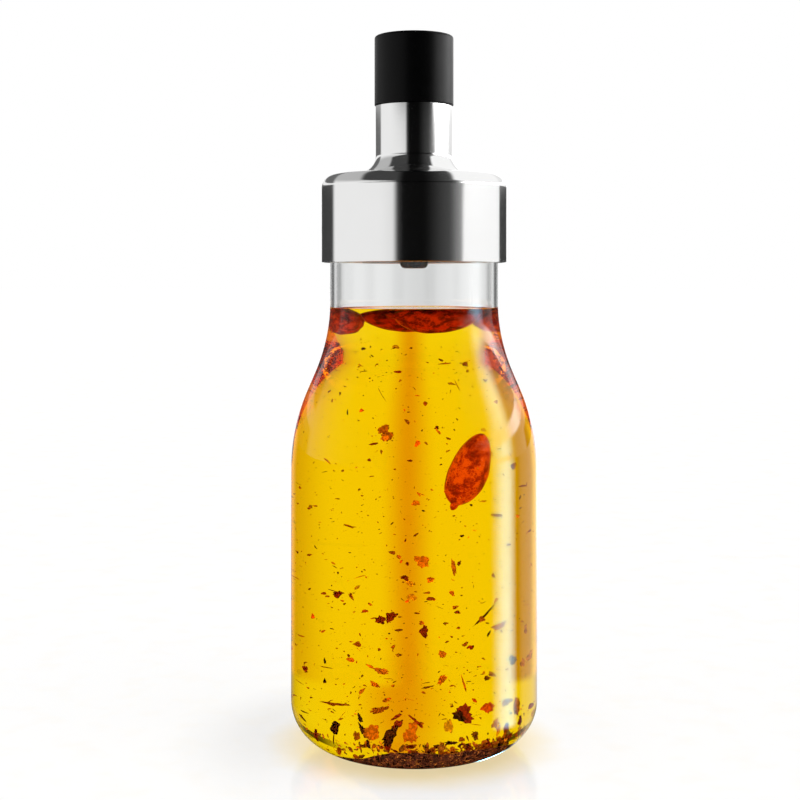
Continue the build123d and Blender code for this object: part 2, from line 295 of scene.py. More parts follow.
def upper_room(start, facing, up, sharp):
    """What steel mirrors of the room, and glass above the oil's surface: sharp mirrors get the strip."""
    spout, steep = up.rise(*SPOUT_HEIGHTS), up.rise(*STEEP_HEIGHTS)
    right_end = (facing - SPOUT_SHIFT * spout + STEEP_SHIFT * steep).rise(*DARK_END)
    turned_on = facing + STEEP_TURN * steep
    front_level = FRONT_LEVEL + FRONT_EDGE * (1 - facing.rise(*FRONT_EDGE_FALL))
    front_level = front_level + FRONT_MIDDLE * facing.rise(*FRONT_MIDDLE_RISE)
    front_level = front_level + FRONT_RIGHT * facing.rise(*FRONT_RIGHT_RISE)
    dark_front = turned_on.rise(*DARK_START) * (1 - right_end) * front_level
    pale_wall = PALE_WALL - WALL_FADE * facing.rise(*WALL_FADE_RISE)
    pale_wall = pale_wall * (1 - WALL_DIM * up.rise(*WALL_HEIGHTS))
    pale_left = pale_wall * facing.rise(*WALL_START) * (1 - turned_on.rise(*WALL_END))
    right_flag, left_flag = facing.rise(*RIGHT_FLAG_RISE), 1 - facing.rise(*LEFT_FLAG_FALL)
    white_right = right_end * (1 - right_flag * (1 - SPOUT_FLAG_LOSS * spout))
    flags = FLAG * right_flag + (FLAG + FLAG_ON_SPOUT * spout) * left_flag
    behind = facing.rise(*BEHIND_RISE) + (1 - facing.rise(*BEHIND_FALL))
    plain = dark_front + pale_left + white_right + flags + behind
    strip = start.mix(up.rise(*STRIP_HEIGHTS), STRIP_ON_OIL, STRIP_ABOVE)
    strip = start.mix(up.band(*NECK_HEIGHTS), strip, STRIP_ON_NECK)
    plain = start.mix(strip_light(facing) * sharp, plain, strip)
    return start.mix(up.band(*CAP_HEIGHTS), plain, mirrored_on_cap(facing))


# %% [markdown]
# Below the oil's surface the room is nearly black, so that the oil keeps its colour: only the strip and
# two faint glares at the sides are left. The strip is bluish, because the yellow that shines through
# it would turn a white one yellow. Only the bottle's outer face mirrors the strip: a ray that has
# been through glass would carry the blue into the heel.

# %% Room below the oil's surface
LOW_ROOM = 0.004
RIGHT_GLARES = (0.72, (108, 118)), (0.9, (148, 165))
LEFT_GLARES = (0.3, (-157, -138)), (1.3, (-173, -158))
STRIP_FOOT, ROOM_FOOT = (-0.50, -0.34), (-0.6, -0.4)


def lower_room(start, facing, up):
    """What the bottle's side mirrors of the room below the oil's surface."""
    outer_face = 1 - start.math("MINIMUM", start.node("LightPath", output="Transmission Depth"), 1.0)
    right = sum(level * facing.rise(*edges) for level, edges in RIGHT_GLARES) * outer_face
    left = sum(level * (1 - facing.rise(*edges)) for level, edges in LEFT_GLARES)
    strip = strip_light(facing) * up.rise(*STRIP_FOOT) * outer_face
    return start.mix(strip, (LOW_ROOM + right + left) * up.rise(*ROOM_FOOT), STRIP_ON_OIL)


# %% [markdown]
# The two halves of the room become one world. Which half a mirror shows depends on whether the ray goes
# down: the plane between them passes through the oil's surface as the camera sees it. Only clear glass
# mirrors the lower half. Steel and silicone, which scatter a little, mirror the upper one in every
# direction, so that they keep their stripes from above and below. Berries and herbs lie deep in
# the oil, which takes light on its way in and out again, so the light that reaches them through the
# glass is raised, as it is by the lamps round a product picture.

# %% World
PLAIN_LEVEL = 0.55
IN_OIL_LEVEL = 2.6
FILL_SLOPE, SLOPE_STEP = -0.0163, 0.0005
ABOVE_NECK = 0.06, 0.08


def room_world():
    """World whose look depends on the kind and the direction of the ray that meets it."""
    world = bpy.data.worlds.new("studio")
    world.use_nodes = True
    world.cycles.sampling_method = "NONE"
    world.node_tree.nodes.clear()
    start = Socket(world.node_tree)
    x, y, up = start.node("TexCoord", output="Generated").axes()
    around = start.math("ARCTAN2", x, 0 - y) * math.degrees(1)
    aside = start.math("ARCTAN2", x, y) * math.degrees(1)
    facing = start.math("ARCTAN2", x, 1 - y) * math.degrees(2)
    below = 1 - up.rise(FILL_SLOPE - SLOPE_STEP, FILL_SLOPE + SLOPE_STEP)
    sharp = start.node("LightPath", output="Is Singular Ray")
    glossy = start.mix(below * sharp, upper_room(start, facing, up, sharp), lower_room(start, facing, up))
    level = start.mix(up.rise(*ABOVE_NECK), neck_backdrop(start, around, aside), 1.0)
    through = start.mix(below, level, shown_behind(start, aside))
    shown = start.mix(start.node("LightPath", output="Is Camera Ray"), PLAIN_LEVEL, 1.0)
    shown = start.mix(start.node("LightPath", output="Is Glossy Ray"), shown, glossy)
    scattered = start.math("MINIMUM", start.node("LightPath", output="Diffuse Depth"), 1.0)
    through = start.mix(scattered, through, IN_OIL_LEVEL)
    shown = start.mix(start.node("LightPath", output="Is Transmission Ray"), shown, through)
    light = start.node("Background", inputs={"Color": shown, "Strength": 1.0})
    start.node("OutputWorld", inputs={"Surface": light})
    bpy.context.scene.world = world


room_world()
print("world ready")

# %% [markdown]
# The floor is a white sheet that runs out of the picture. Most of its white is its own, so that it
# joins the white background without an edge. The rest is lit by the lamps, so it keeps the bottle's
# shadow. Round the foot its colour is painted yellow and a little darker: a painted glow of the light
# that comes through the oil, and a painted contact shade. A little gloss mirrors the foot. Rays from
# glass and steel pass the floor: the room's pattern says what they meet.

# %% Floor
FLOOR_SIZE = 25.0
FLOOR_LIT_SHARE = 0.12
FLOOR_GLOSS = 0.8
GLOW_START, GLOW_END = 25.0, 42.0
# This tone paints yellow light and a darker contact shade into the floor round the foot.
PAINTED_GLOW_TONE = (0.95, 0.80, 0.48)
GLOW_SPREAD, GLOW_GRAIN = 0.3, 90.0
MIRROR_END, MIRROR_IOR, MIRROR_BLUR = 70.0, 1.45, 0.12


def floor_finish():
    """White sheet: own light, lit share, a painted yellow glow and painted shade round the foot, and a faint
    mirror near it.
    """
    made = bpy.data.materials.new("floor_sheet")
    made.use_nodes = True
    made.node_tree.nodes.clear()
    start = Socket(made.node_tree)
    place = start.node("TexCoord", output="Object")
    away = start.node("VectorMath", {"operation": "LENGTH"}, {0: place}, "Value") / MM
    patchy = start.node("TexNoise", inputs={"Vector": place, "Scale": GLOW_GRAIN, "Detail": 2.0})
    # Painted glow and shade: near the axis the floor's colour takes the yellow, darker tone.
    painted_glow_and_shade = start.mix(away.rise(GLOW_START, GLOW_END) + (patchy - 0.5) * GLOW_SPREAD, PAINTED_GLOW_TONE, 1.0)
    seen = start.node("LightPath", output="Is Camera Ray")
    lit = start.node("BsdfDiffuse", inputs={"Color": start.mix(FLOOR_LIT_SHARE, 0.0, painted_glow_and_shade)})
    own_colour = start.mix(1 - FLOOR_LIT_SHARE, 0.0, painted_glow_and_shade)
    own = start.node("Emission", inputs={"Color": own_colour, "Strength": seen})
    sheet = start.node("AddShader", inputs={0: lit, 1: own})
    mirror = start.node("BsdfGlossy", inputs={"Color": (1, 1, 1, 1), "Roughness": MIRROR_BLUR})
    near = 1 - away.rise(MIRROR_END / 2, MIRROR_END)
    share = start.node("Fresnel", inputs={"IOR": MIRROR_IOR}) * seen * near * FLOOR_GLOSS
    start.node("OutputMaterial", inputs={0: start.node("MixShader", inputs={0: share, 1: sheet, 2: mirror})})
    return made


corners = [(-FLOOR_SIZE, -FLOOR_SIZE, 0), (FLOOR_SIZE, -FLOOR_SIZE, 0), (FLOOR_SIZE, FLOOR_SIZE, 0),
           (-FLOOR_SIZE, FLOOR_SIZE, 0)]
floor_mesh = bpy.data.meshes.new("floor")
floor_mesh.from_pydata(corners, [], [(0, 1, 2, 3)])
floor_mesh.materials.append(floor_finish())
floor = stood("floor", floor_mesh)
floor.visible_glossy = False
floor.visible_transmission = False
print("floor", FLOOR_SIZE * 2, "m wide")

# %% [markdown]
# Two soft suns give the shadow and a little form. A sun lights the floor evenly as far as it goes, so
# the floor meets the background without a seam, where a lamp near the bottle would fade. With the
# world they add up to a plain white level of about one, and they stay out of the glass and steel.

# %% Lamps
KEY_LEVEL = 0.32
FILL_LEVEL = 0.17


def soft_sun(name, towards_light, level, spread):
    """Sun that lights the floor to a share of white, from a direction, spread over some degrees."""
    sun = bpy.data.lights.new(name, "SUN")
    direction = Vector(towards_light).normalized()
    sun.energy = level * math.pi / direction.z
    sun.angle = math.radians(spread)
    lit = stood(name, sun)
    lit.rotation_euler = direction.to_track_quat("Z", "Y").to_euler()
    lit.visible_glossy = False
    lit.visible_transmission = False


soft_sun("key_sun", (0.55, -0.35, 0.9), KEY_LEVEL, 40)
soft_sun("fill_sun", (-0.6, -0.4, 0.7), FILL_LEVEL, 60)
print("suns ready")

# %% [markdown]
# Turned pieces. Nearly every piece of this bottle is round about one axis, because it is blown, spun
# or turned. So one profile is drawn and carried round. The profile is a list of corners, each with the
# radius that rounds it, as on a lathe drawing. Its exact normals go into the mesh, so that steel and
# glass reflect without facets.

# %% Profiles
ARC_STEP = math.radians(7)
ARC_CHORD = 1.1
BIG_ROUND, SMALL_ROUND = 256, 192


def outline(corners, closed=False):
    """Profile through corners (radius, height, rounding) in mm, and its outward normals.

    Each corner is replaced by an arc tangent to both of its sides: it starts at the corner less
    rounding times the tangent of half the turn, and its normal turns steadily."""
    spots = np.array([corner[:2] for corner in corners], float)
    points, normals = [], []
    for index, corner in enumerate(corners):
        before = spots[index] - spots[index - 1]
        after = spots[(index + 1) % len(corners)] - spots[index]
        if not closed and index in (0, len(corners) - 1):
            run = after if index == 0 else before
            points.append(spots[index][None])
            normals.append(np.array([[run[1], -run[0]]]) / np.hypot(*run))
            continue
        before, after = before / np.hypot(*before), after / np.hypot(*after)
        turn = math.atan2(before[0] * after[1] - before[1] * after[0], before @ after)
        rounding = corner[2]
        side = math.copysign(1, turn)
        arc_start = spots[index] - before * rounding * math.tan(abs(turn) / 2)
        centre = arc_start + np.array([-before[1], before[0]]) * rounding * side
        steps = max(2, math.ceil(abs(turn) / ARC_STEP), math.ceil(abs(turn) * rounding / ARC_CHORD))
        heading = math.atan2(before[1], before[0]) + turn * np.linspace(0, 1, steps + 1)
        outward = np.stack([np.sin(heading), -np.cos(heading)], 1)
        points.append(centre + outward * rounding * side)
        normals.append(outward)
    return np.concatenate(points), np.concatenate(normals)


# %% [markdown]
# A grid of points becomes a mesh here. Its columns close on themselves, and a row that has shrunk to
# one point becomes a pole with triangles round it, so that no surface is left with a hole.

# %% Surfaces


def skin(name, grid, closed=False, normals=None):
    """Mesh over a grid of points in metres, rows by columns, with exact normals if they are given."""
    rows, columns = grid.shape[:2]
    index = np.arange(rows * columns).reshape(rows, columns)
    pole = np.ptp(grid, axis=1).max(axis=1) < 1e-9
    index[pole] = index[pole][:, :1]
    used, place = np.unique(index, return_inverse=True)
    index = place.reshape(rows, columns)
    low, high = (index, np.roll(index, -1, 0)) if closed else (index[:-1], index[1:])
    quads = np.stack([low, np.roll(low, -1, 1), np.roll(high, -1, 1), high], -1).reshape(-1, 4)
    low_pole = quads[:, 0] == quads[:, 1]
    high_pole = quads[:, 2] == quads[:, 3]
    faces = quads[~(low_pole | high_pole)].tolist()
    faces += quads[low_pole][:, [1, 2, 3]].tolist() + quads[high_pole][:, [0, 1, 2]].tolist()
    mesh = bpy.data.meshes.new(name)
    mesh.from_pydata(grid.reshape(-1, 3)[used], [], faces)
    mesh.polygons.foreach_set("use_smooth", np.ones(len(mesh.polygons), bool))
    if normals is not None:
        mesh.normals_split_custom_set_from_vertices(normals.reshape(-1, 3)[used].tolist())
    return stood(name, mesh)


def turned(name, profile, closed=False, segments=SMALL_ROUND):
    """Surface of revolution: a profile point (r, z) at angle a lies at (r cos a, r sin a, z)."""
    angle = np.linspace(0, 2 * math.pi, segments, endpoint=False)
    round_x, round_y = np.cos(angle), np.sin(angle)
    points, normals = (np.stack([pairs[:, :1] * round_x, pairs[:, :1] * round_y,
                                 np.repeat(pairs[:, 1:], segments, 1)], -1) for pairs in profile)
    return skin(name, points * MM, closed, normals)


def mark_points(piece, name, values):
    """Keeps one number for each point of a piece, which its finish can read."""
    mark = piece.data.attributes.new(name, "FLOAT", "POINT")
    mark.data.foreach_set("value", values.astype(np.float32))


def dress(piece, finish, body, slot, *nodes):
    """Gives a piece its finish and the body it rides on, and hides the nodes it stands for. The slot is not
    used.
    """
    piece.data.materials.append(finish)
    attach(piece, body)
    if nodes:
        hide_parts(*nodes)
    print(piece.name, len(piece.data.polygons), "faces, on", body)


# %% [markdown]
# Finishes are built with five helpers: an empty material, coordinates in millimetres that stay with
# the piece, a fractal noise on them, a bump, and the surface that ends the material. Generated
# coordinates would stretch with each piece's box, so every pattern reads object coordinates.

# %% Finish helpers


def empty_finish(name):
    """New material with no nodes, and the tree to build it with."""
    made = bpy.data.materials.new(name)
    made.use_nodes = True
    made.node_tree.nodes.clear()
    return made, Socket(made.node_tree)


def place_mm(start, stretch=(1, 1, 1)):
    """Object coordinates in millimetres, stretched along each axis."""
    inputs = {0: start.node("TexCoord", output="Object"), 1: tuple(s / MM for s in stretch)}
    return start.node("VectorMath", {"operation": "MULTIPLY"}, inputs)


def noise(start, place, scale, detail=3.0, distortion=0.0):
    """Fractal noise from 0 to 1, with scale in waves per millimetre."""
    inputs = {"Vector": place, "Scale": scale, "Detail": detail, "Distortion": distortion}
    return start.node("TexNoise", inputs=inputs)


def bump(start, height, depth_mm, strength=1.0):
    """Normal from a height between 0 and 1 that stands for a depth in millimetres."""
    inputs = {"Height": height, "Distance": depth_mm * MM, "Strength": strength}
    return start.node("Bump", inputs=inputs)


def finished(start, inputs, volume=None):
    """Principled surface, and a volume inside it if one is given."""
    ends = {"Surface": start.node("BsdfPrincipled", inputs=inputs)}
    if volume:
        ends["Volume"] = volume
    start.node("OutputMaterial", inputs=ends)


# %% [markdown]
# Clear glass. Blown glass is never quite even, so a slow waviness two hundredths of a millimetre
# deep bends what shows through it. The glass itself has no colour to speak of at this wall. In the
# picture only its steep sides mirror the room, so the part that it would mirror head-on is nearly
# switched off outside. From inside it mirrors in full, which bends the berries round the shoulder.
# Where oil wets it, glass and oil bend light almost alike: the wetted wall has the ratio of the two
# indices, the oil's own side has none, and nothing is lost between them. Bottles are often finely
# stippled round the foot. Here the back of the foot is, and blurs what would be a dark mirror of the lid.

# %% Glass finish
GLASS_IOR = 1.5
OIL_IOR = 1.47
WETTED_IOR = GLASS_IOR / OIL_IOR
FOOT_IOR = 1.06
STIPPLE_TOP = 10.0, 13.0
STIPPLE_SIDE = -18.0, -4.0
STIPPLE_BLUR = 0.12
WAVE_SCALE, WAVE_DEPTH, SMEAR_SCALE = 0.05, 0.02, 0.12
GLASS_TINTS = (1.0, 1.0, 1.0), (0.985, 0.995, 0.99)


def mirror_pair(start, look, outside, inside):
    """Glass that mirrors this much of its full share from outside and from inside."""
    sides = [start.node("BsdfPrincipled", inputs={**look, "Specular Tint": (mirrored, mirrored, mirrored, 1)})
             for mirrored in (outside, inside)]
    behind = start.node("NewGeometry", output="Backfacing")
    return start.node("MixShader", inputs={0: behind, 1: sides[0], 2: sides[1]})


def clear_glass(name, outside, inside, ior=GLASS_IOR, stippled=False):
    """Smooth clear glass with a faint waviness. The stippled kind has a finely bumpy foot at the back."""
    made, start = empty_finish(name)
    place = place_mm(start)
    wave = noise(start, place, WAVE_SCALE, 1.0)
    smear = noise(start, place, SMEAR_SCALE, 4.0)
    look = {"Base Color": start.mix(smear, *GLASS_TINTS), "Roughness": 0.0, "IOR": ior,
            "Transmission Weight": 1.0, "Normal": bump(start, wave, WAVE_DEPTH)}
    surface = mirror_pair(start, look, outside, inside)
    if stippled:
        foot = mirror_pair(start, {**look, "IOR": FOOT_IOR, "Roughness": STIPPLE_BLUR}, 0, 0)
        y, height = place.axes()[1:]
        share = (1 - height.rise(*STIPPLE_TOP)) * y.rise(*STIPPLE_SIDE)
        surface = start.node("MixShader", inputs={0: share, 1: surface, 2: foot})
    start.node("OutputMaterial", inputs={"Surface": surface})
    return made


# %% [markdown]
# Dressing. Yellow oil takes blue out of the light at once, green slowly and red hardly at all. So
# it turns from gold at a thin edge to amber through the thick middle. That is a volume absorption. A
# little of the colour is on the surface too, for viewers that don't know volumes.

# %% Oil finish
OIL_DENSITY = 110.0
OIL_PASSED = (0.9993, 0.957, 0.0)
OIL_TINTS = (1.0, 0.86, 0.30), (1.0, 0.82, 0.24)
CLOUD_SCALE = 0.03


def golden_oil(name, ior):
    """Golden oil: tinted surface and absorbing volume. Its wetted side bends no light: the glass does."""
    made, start = empty_finish(name)
    base = start.mix(noise(start, place_mm(start), CLOUD_SCALE, 2.0), *OIL_TINTS)
    volume = start.node("VolumeAbsorption", inputs={"Color": (*OIL_PASSED, 1), "Density": OIL_DENSITY})
    look = {"Base Color": base, "Roughness": 0.0, "IOR": ior, "Transmission Weight": 1.0}
    finished(start, look, volume)
    return made


# %% [markdown]
# Steel. The collar and spout are spun from one sheet and polished nearly to a mirror. Fine rings from
# the spinning stay, so the finish has a very fine pattern that runs round the axis: noise that is
# stretched fiftyfold across and kept fine along the height.

# %% Metal finishes
RING_STRETCH, RING_SCALE = (0.02, 0.02, 1), 9.0
STEEL_SMEAR = 0.09
SMEAR_TINT = 0.97, 0.97, 0.96
BLUR_RANGE = 0.03


def polished_steel(name, level, roughness, ring_depth):
    """Spun steel with fine rings round the axis and a little smear."""
    made, start = empty_finish(name)
    rings = noise(start, place_mm(start, RING_STRETCH), RING_SCALE, 4.0)
    smear = noise(start, place_mm(start), STEEL_SMEAR, 3.0)
    tone = start.mix(smear, (level,) * 3, tuple(level * share for share in SMEAR_TINT))
    blur = roughness + smear * BLUR_RANGE + rings * BLUR_RANGE
    finished(start, {"Base Color": tone, "Metallic": 1.0, "Roughness": blur,
                     "Normal": bump(start, rings, ring_depth)})
    return made


# %% [markdown]
# Black silicone and plastic. Silicone is soft and dull: moulded matt, it holds a little dust, and its
# light spreads wide. The hard plastic of the core is smoother. Both are near black with a fine grain.

# %% Moulded finishes
MOULD_CLOUD, MOULD_UNEVEN, MOULD_BUMP = 0.35, 0.08, 0.6


def moulded(name, dark, pale, roughness, grain, depth, gloss=0.5):
    """Moulded silicone or plastic: two close tones, a fine grain and uneven gloss."""
    made, start = empty_finish(name)
    place = place_mm(start)
    cloud = noise(start, place, MOULD_CLOUD, 4.0)
    fine = noise(start, place, grain, 2.0)
    blur = roughness + cloud * MOULD_UNEVEN
    finished(start, {"Base Color": start.mix(cloud, dark, pale), "Roughness": blur,
                     "Specular IOR Level": gloss, "Normal": bump(start, fine, depth, MOULD_BUMP)})
    return made


# %% [markdown]
# Now the finishes are made. Steel has its grey level, how blurred it mirrors and how deep its rings are
# in millimetres. Silicone and plastic have two tones, roughness, the grain's scale and depth, and gloss.

# %% The bottle's own finishes
OUTER_SHARE = 0.02
SILICONE_TONES = (0.001, 0.001, 0.0011), (0.0025, 0.0025, 0.0027)
SEAL_TONES = (0.30, 0.31, 0.31), (0.37, 0.38, 0.38)
PLASTIC_TONES = (0.018, 0.018, 0.019), (0.028, 0.028, 0.030)
NUT_TONES = (0.002, 0.002, 0.002), (0.005, 0.005, 0.005)

glass = clear_glass("clear_glass", OUTER_SHARE, 1.0, stippled=True)
wetted_glass = clear_glass("wetted_glass", 1.0, 1.0, WETTED_IOR)
oil = golden_oil("golden_oil", 1.0)
oil_surface = golden_oil("oil_surface", OIL_IOR)
steel = polished_steel("polished_steel", 0.93, 0.07, 0.0004)
plate_steel = polished_steel("plate_steel", 0.72, 0.24, 0.002)
black_silicone = moulded("black_silicone", *SILICONE_TONES, 0.30, 6.0, 0.004, 0.125)
grey_silicone = moulded("grey_silicone", *SEAL_TONES, 0.45, 5.0, 0.006)
black_plastic = moulded("black_plastic", *PLASTIC_TONES, 0.32, 8.0, 0.004)
dark_nut = moulded("dark_nut", *NUT_TONES, 0.16, 3.0, 0.002, 0.12)
print(len(bpy.data.materials), "materials so far")

# %% [markdown]
# The glass bottle. Its side, arched shoulder and neck are one outline: straight runs joined by big
# tangent arcs, 50 mm at the shoulder and 48 mm at the throat. The inner wall is the same outline moved
# in by the wall, so both walls come from one function. The underside is dished a little, so that the
# bottle stands on a ring.

# %% Bottle
NECK_RADIUS = 22.2
LIP_ROUNDING = 0.7
PUNT_RADIUS, PUNT_DEPTH, PUNT_EDGE = 17.0, 0.8, 2.0
PUNT_ARC = 0.98 * (PUNT_RADIUS ** 2 + PUNT_DEPTH ** 2) / (2 * PUNT_DEPTH)

radius_step = body_radius - NECK_RADIUS
arc_radii = SHOULDER_RADIUS + THROAT_RADIUS
full_turn = math.acos((arc_radii - radius_step) / math.hypot(arc_radii, SHOULDER_STRAIGHT))
shoulder_turn = full_turn - math.atan2(SHOULDER_STRAIGHT, arc_radii)
shoulder_rise = arc_radii * math.sin(shoulder_turn) + SHOULDER_STRAIGHT * math.cos(shoulder_turn)
neck_start = SIDE_TOP + shoulder_rise


def wall(inset, floor_height, heel):
    """Corners of the bottle's outline moved in by inset, from the heel up to the throat."""
    half_turn = math.tan(shoulder_turn / 2)
    shoulder, throat = SHOULDER_RADIUS - inset, THROAT_RADIUS + inset
    return [(body_radius - inset, floor_height, heel),
            (body_radius - inset, SIDE_TOP + shoulder * half_turn, shoulder),
            (NECK_RADIUS - inset, neck_start - throat * half_turn, throat)]


outer_wall = wall(0, 0, HEEL_RADIUS)
inner_heel = HEEL_RADIUS - BASE_THICKNESS
inner_wall = wall(GLASS_WALL, BASE_THICKNESS, inner_heel)
foot = [(0, PUNT_DEPTH, 0), (PUNT_RADIUS / 2, PUNT_DEPTH, PUNT_ARC), (PUNT_RADIUS, 0, PUNT_EDGE)]
lip = [(NECK_RADIUS, glass_height, LIP_ROUNDING), (NECK_RADIUS - GLASS_WALL, glass_height, LIP_ROUNDING)]
bottle_profile = outline(foot + outer_wall + lip + inner_wall[::-1] + [(0, BASE_THICKNESS, 0)])
bottle = turned("glass_bottle", bottle_profile, segments=BIG_ROUND)

# %% [markdown]
# The inner wall has the wetted finish up to the oil. Its faces are those below the fill line that look
# towards the axis, or up from the floor of the bottle.

# %% Wetted wall
LOOKS_IN, LOOKS_UP, TOUCH = -0.05, 0.7, 0.1


def mark_faces(piece, finish, chosen):
    """Gives a second finish to the faces that are chosen by height, outward lean and upward lean."""
    count = len(piece.data.polygons)
    centres, normals = np.empty(count * 3), np.empty(count * 3)
    piece.data.polygons.foreach_get("center", centres)
    piece.data.polygons.foreach_get("normal", normals)
    centres, normals = centres.reshape(-1, 3) / MM, normals.reshape(-1, 3)
    away = np.hypot(centres[:, 0], centres[:, 1])
    lean = (centres[:, :2] * normals[:, :2]).sum(1) / np.maximum(away, 1)
    picked = chosen(centres[:, 2], lean, normals[:, 2])
    piece.data.polygons.foreach_set("material_index", picked.astype(np.int32))
    piece.data.materials.append(finish)
    print(piece.name, int(picked.sum()), "faces in", finish.name)


dress(bottle, glass, "bottle", "clear_glass", "bottle_glass")
mark_faces(bottle, wetted_glass, lambda height, lean, rise: (height < fill_height) & (
    (lean < LOOKS_IN) | ((rise > LOOKS_UP) & (height > BASE_THICKNESS - TOUCH))))

# %% [markdown]
# The dressing. Where oil wets glass there is no air between them. Two surfaces at the same place
# would flicker, and a gap would mirror like a film of air, so the oil reaches 0.08 mm into the glass. At
# the fill line it creeps up the wall in a small meniscus.

# %% Oil
WETTING = 0.08
SURFACE_LEAN = 0.5
LAST_GAP = 0.05
MENISCUS_RISE, MENISCUS_WIDTH, MENISCUS_ROUNDING = 0.2, 0.5, 1.6


def cut_at(profile, height):
    """The part of a rising profile that is below a height, with a last point right at it."""
    points, normals = profile
    kept = points[:, 1] < height - LAST_GAP
    last = np.interp(height, points[:, 1], points[:, 0])
    return np.append(points[kept], [[last, height]], 0), np.append(normals[kept], normals[kept][-1:], 0)


oil_wall = wall(GLASS_WALL - WETTING, BASE_THICKNESS - WETTING, inner_heel + WETTING)
oil_side = outline([(0, BASE_THICKNESS - WETTING, 0)] + oil_wall + [(NECK_RADIUS, glass_height, 0)])
oil_side = cut_at(oil_side, fill_height + MENISCUS_RISE)
wet_radius = oil_side[0][-1, 0]
oil_top = outline([(wet_radius, fill_height + MENISCUS_RISE, 0),
                   (wet_radius - MENISCUS_WIDTH, fill_height, MENISCUS_ROUNDING), (0, fill_height, 0)])
oil_profile = [np.concatenate(pair) for pair in zip(oil_side, oil_top)]
oil_piece = turned("oil", oil_profile, segments=BIG_ROUND)
dress(oil_piece, oil, "bottle", "oil", "dressing")
mark_faces(oil_piece, oil_surface, lambda height, lean, rise:
           (rise > SURFACE_LEAN) & (height > fill_height - TOUCH))

# %% [markdown]
# Collar and spout. One steel sheet is spun into collar, sloping dome and spout, so it is one profile
# with two big curves: a tight shoulder at the collar and a wide hollow where the dome turns up into
# the spout. The inner face is the same profile moved in by the sheet.

# %% Steel shell
STEEL = 0.6
COLLAR_SIDE = 19.6
COLLAR_CORNER = 3.4
DOME_SLOPE = math.radians(5.9)
SPOUT_RADIUS = 10.15
SPOUT_FILLET = 4.6
STEEL_EDGE = 0.2
SPOUT_STRAIGHT = 13.1

half_corner = math.tan((math.pi / 2 - DOME_SLOPE) / 2)
corner_centre = collar_bottom + COLLAR_SIDE
fillet_centre = spout_top - SPOUT_STRAIGHT


def shell_corners(inset):
    """Collar corner and spout hollow of the steel sheet moved in by inset."""
    corner, hollow = COLLAR_CORNER - inset, SPOUT_FILLET + inset
    return [(collar_radius - inset, corner_centre + corner * half_corner, corner),
            (SPOUT_RADIUS - inset, fillet_centre - hollow * half_corner, hollow)]


outside = [(collar_radius, collar_bottom, STEEL_EDGE)] + shell_corners(0)
outside += [(SPOUT_RADIUS, spout_top, STEEL_EDGE)]
inside = [(SPOUT_RADIUS - STEEL, spout_top, STEEL_EDGE)] + shell_corners(STEEL)[::-1]
inside += [(collar_radius - STEEL, collar_bottom, STEEL_EDGE)]
shell = turned("steel_shell", outline(outside + inside, True), True, BIG_ROUND)
dress(shell, steel, "lid", "steel", "collar_shell")

# %% [markdown]
# The cap is a cup of black silicone pulled over a plastic core. Its top edge is softly rounded and its
# lower edge hides the mouth of the spout.

# %% Cap
CAP_WALL = 1.5
CAP_TOP_THICKNESS = 1.6
CAP_EDGE, CAP_RIM, CUP_CORNER, CUP_RIM = 0.75, 0.2, 0.3, 0.15

cap_radius = radius_of("cap_sleeve")
cap_bottom, cap_top = heights_of("cap_sleeve")
cup_radius, cup_top = cap_radius - CAP_WALL, cap_top - CAP_TOP_THICKNESS
cup_inside = [(0, cup_top, 0), (cup_radius, cup_top, CUP_CORNER), (cup_radius, cap_bottom, CUP_RIM)]
cup_outside = [(cap_radius, cap_bottom, CAP_RIM), (cap_radius, cap_top, CAP_EDGE), (0, cap_top, 0)]
cap = turned("silicone_cap", outline(cup_inside + cup_outside))
dress(cap, black_silicone, "cap", "black_silicone", "cap_sleeve")

# %% [markdown]
# Berries. A dried berry that soaks in oil stays a plump spindle with a leathery skin and a nub where
# its stem was. Shallow folds wander along it, cut inwards so that the berry keeps to its solid. How
# deep a point lies in a fold is kept as an attribute, and the skin is painted darker there, as shade in
# the creases. A floating berry hangs under the surface, so its ends bend up until its back is flat.

# %% Berry shape
BERRY_ROWS, BERRY_COLUMNS = 120, 96
FOLD_COUNTS = (2, 3, 5, 8, 13)
NUB_LENGTH, NUB_RADIUS = 1.5, 0.85
PIT_SHARE = 0.15
BLUNTNESS, TAPER, LIFT_LEAN = 0.55, 0.12, 0.35


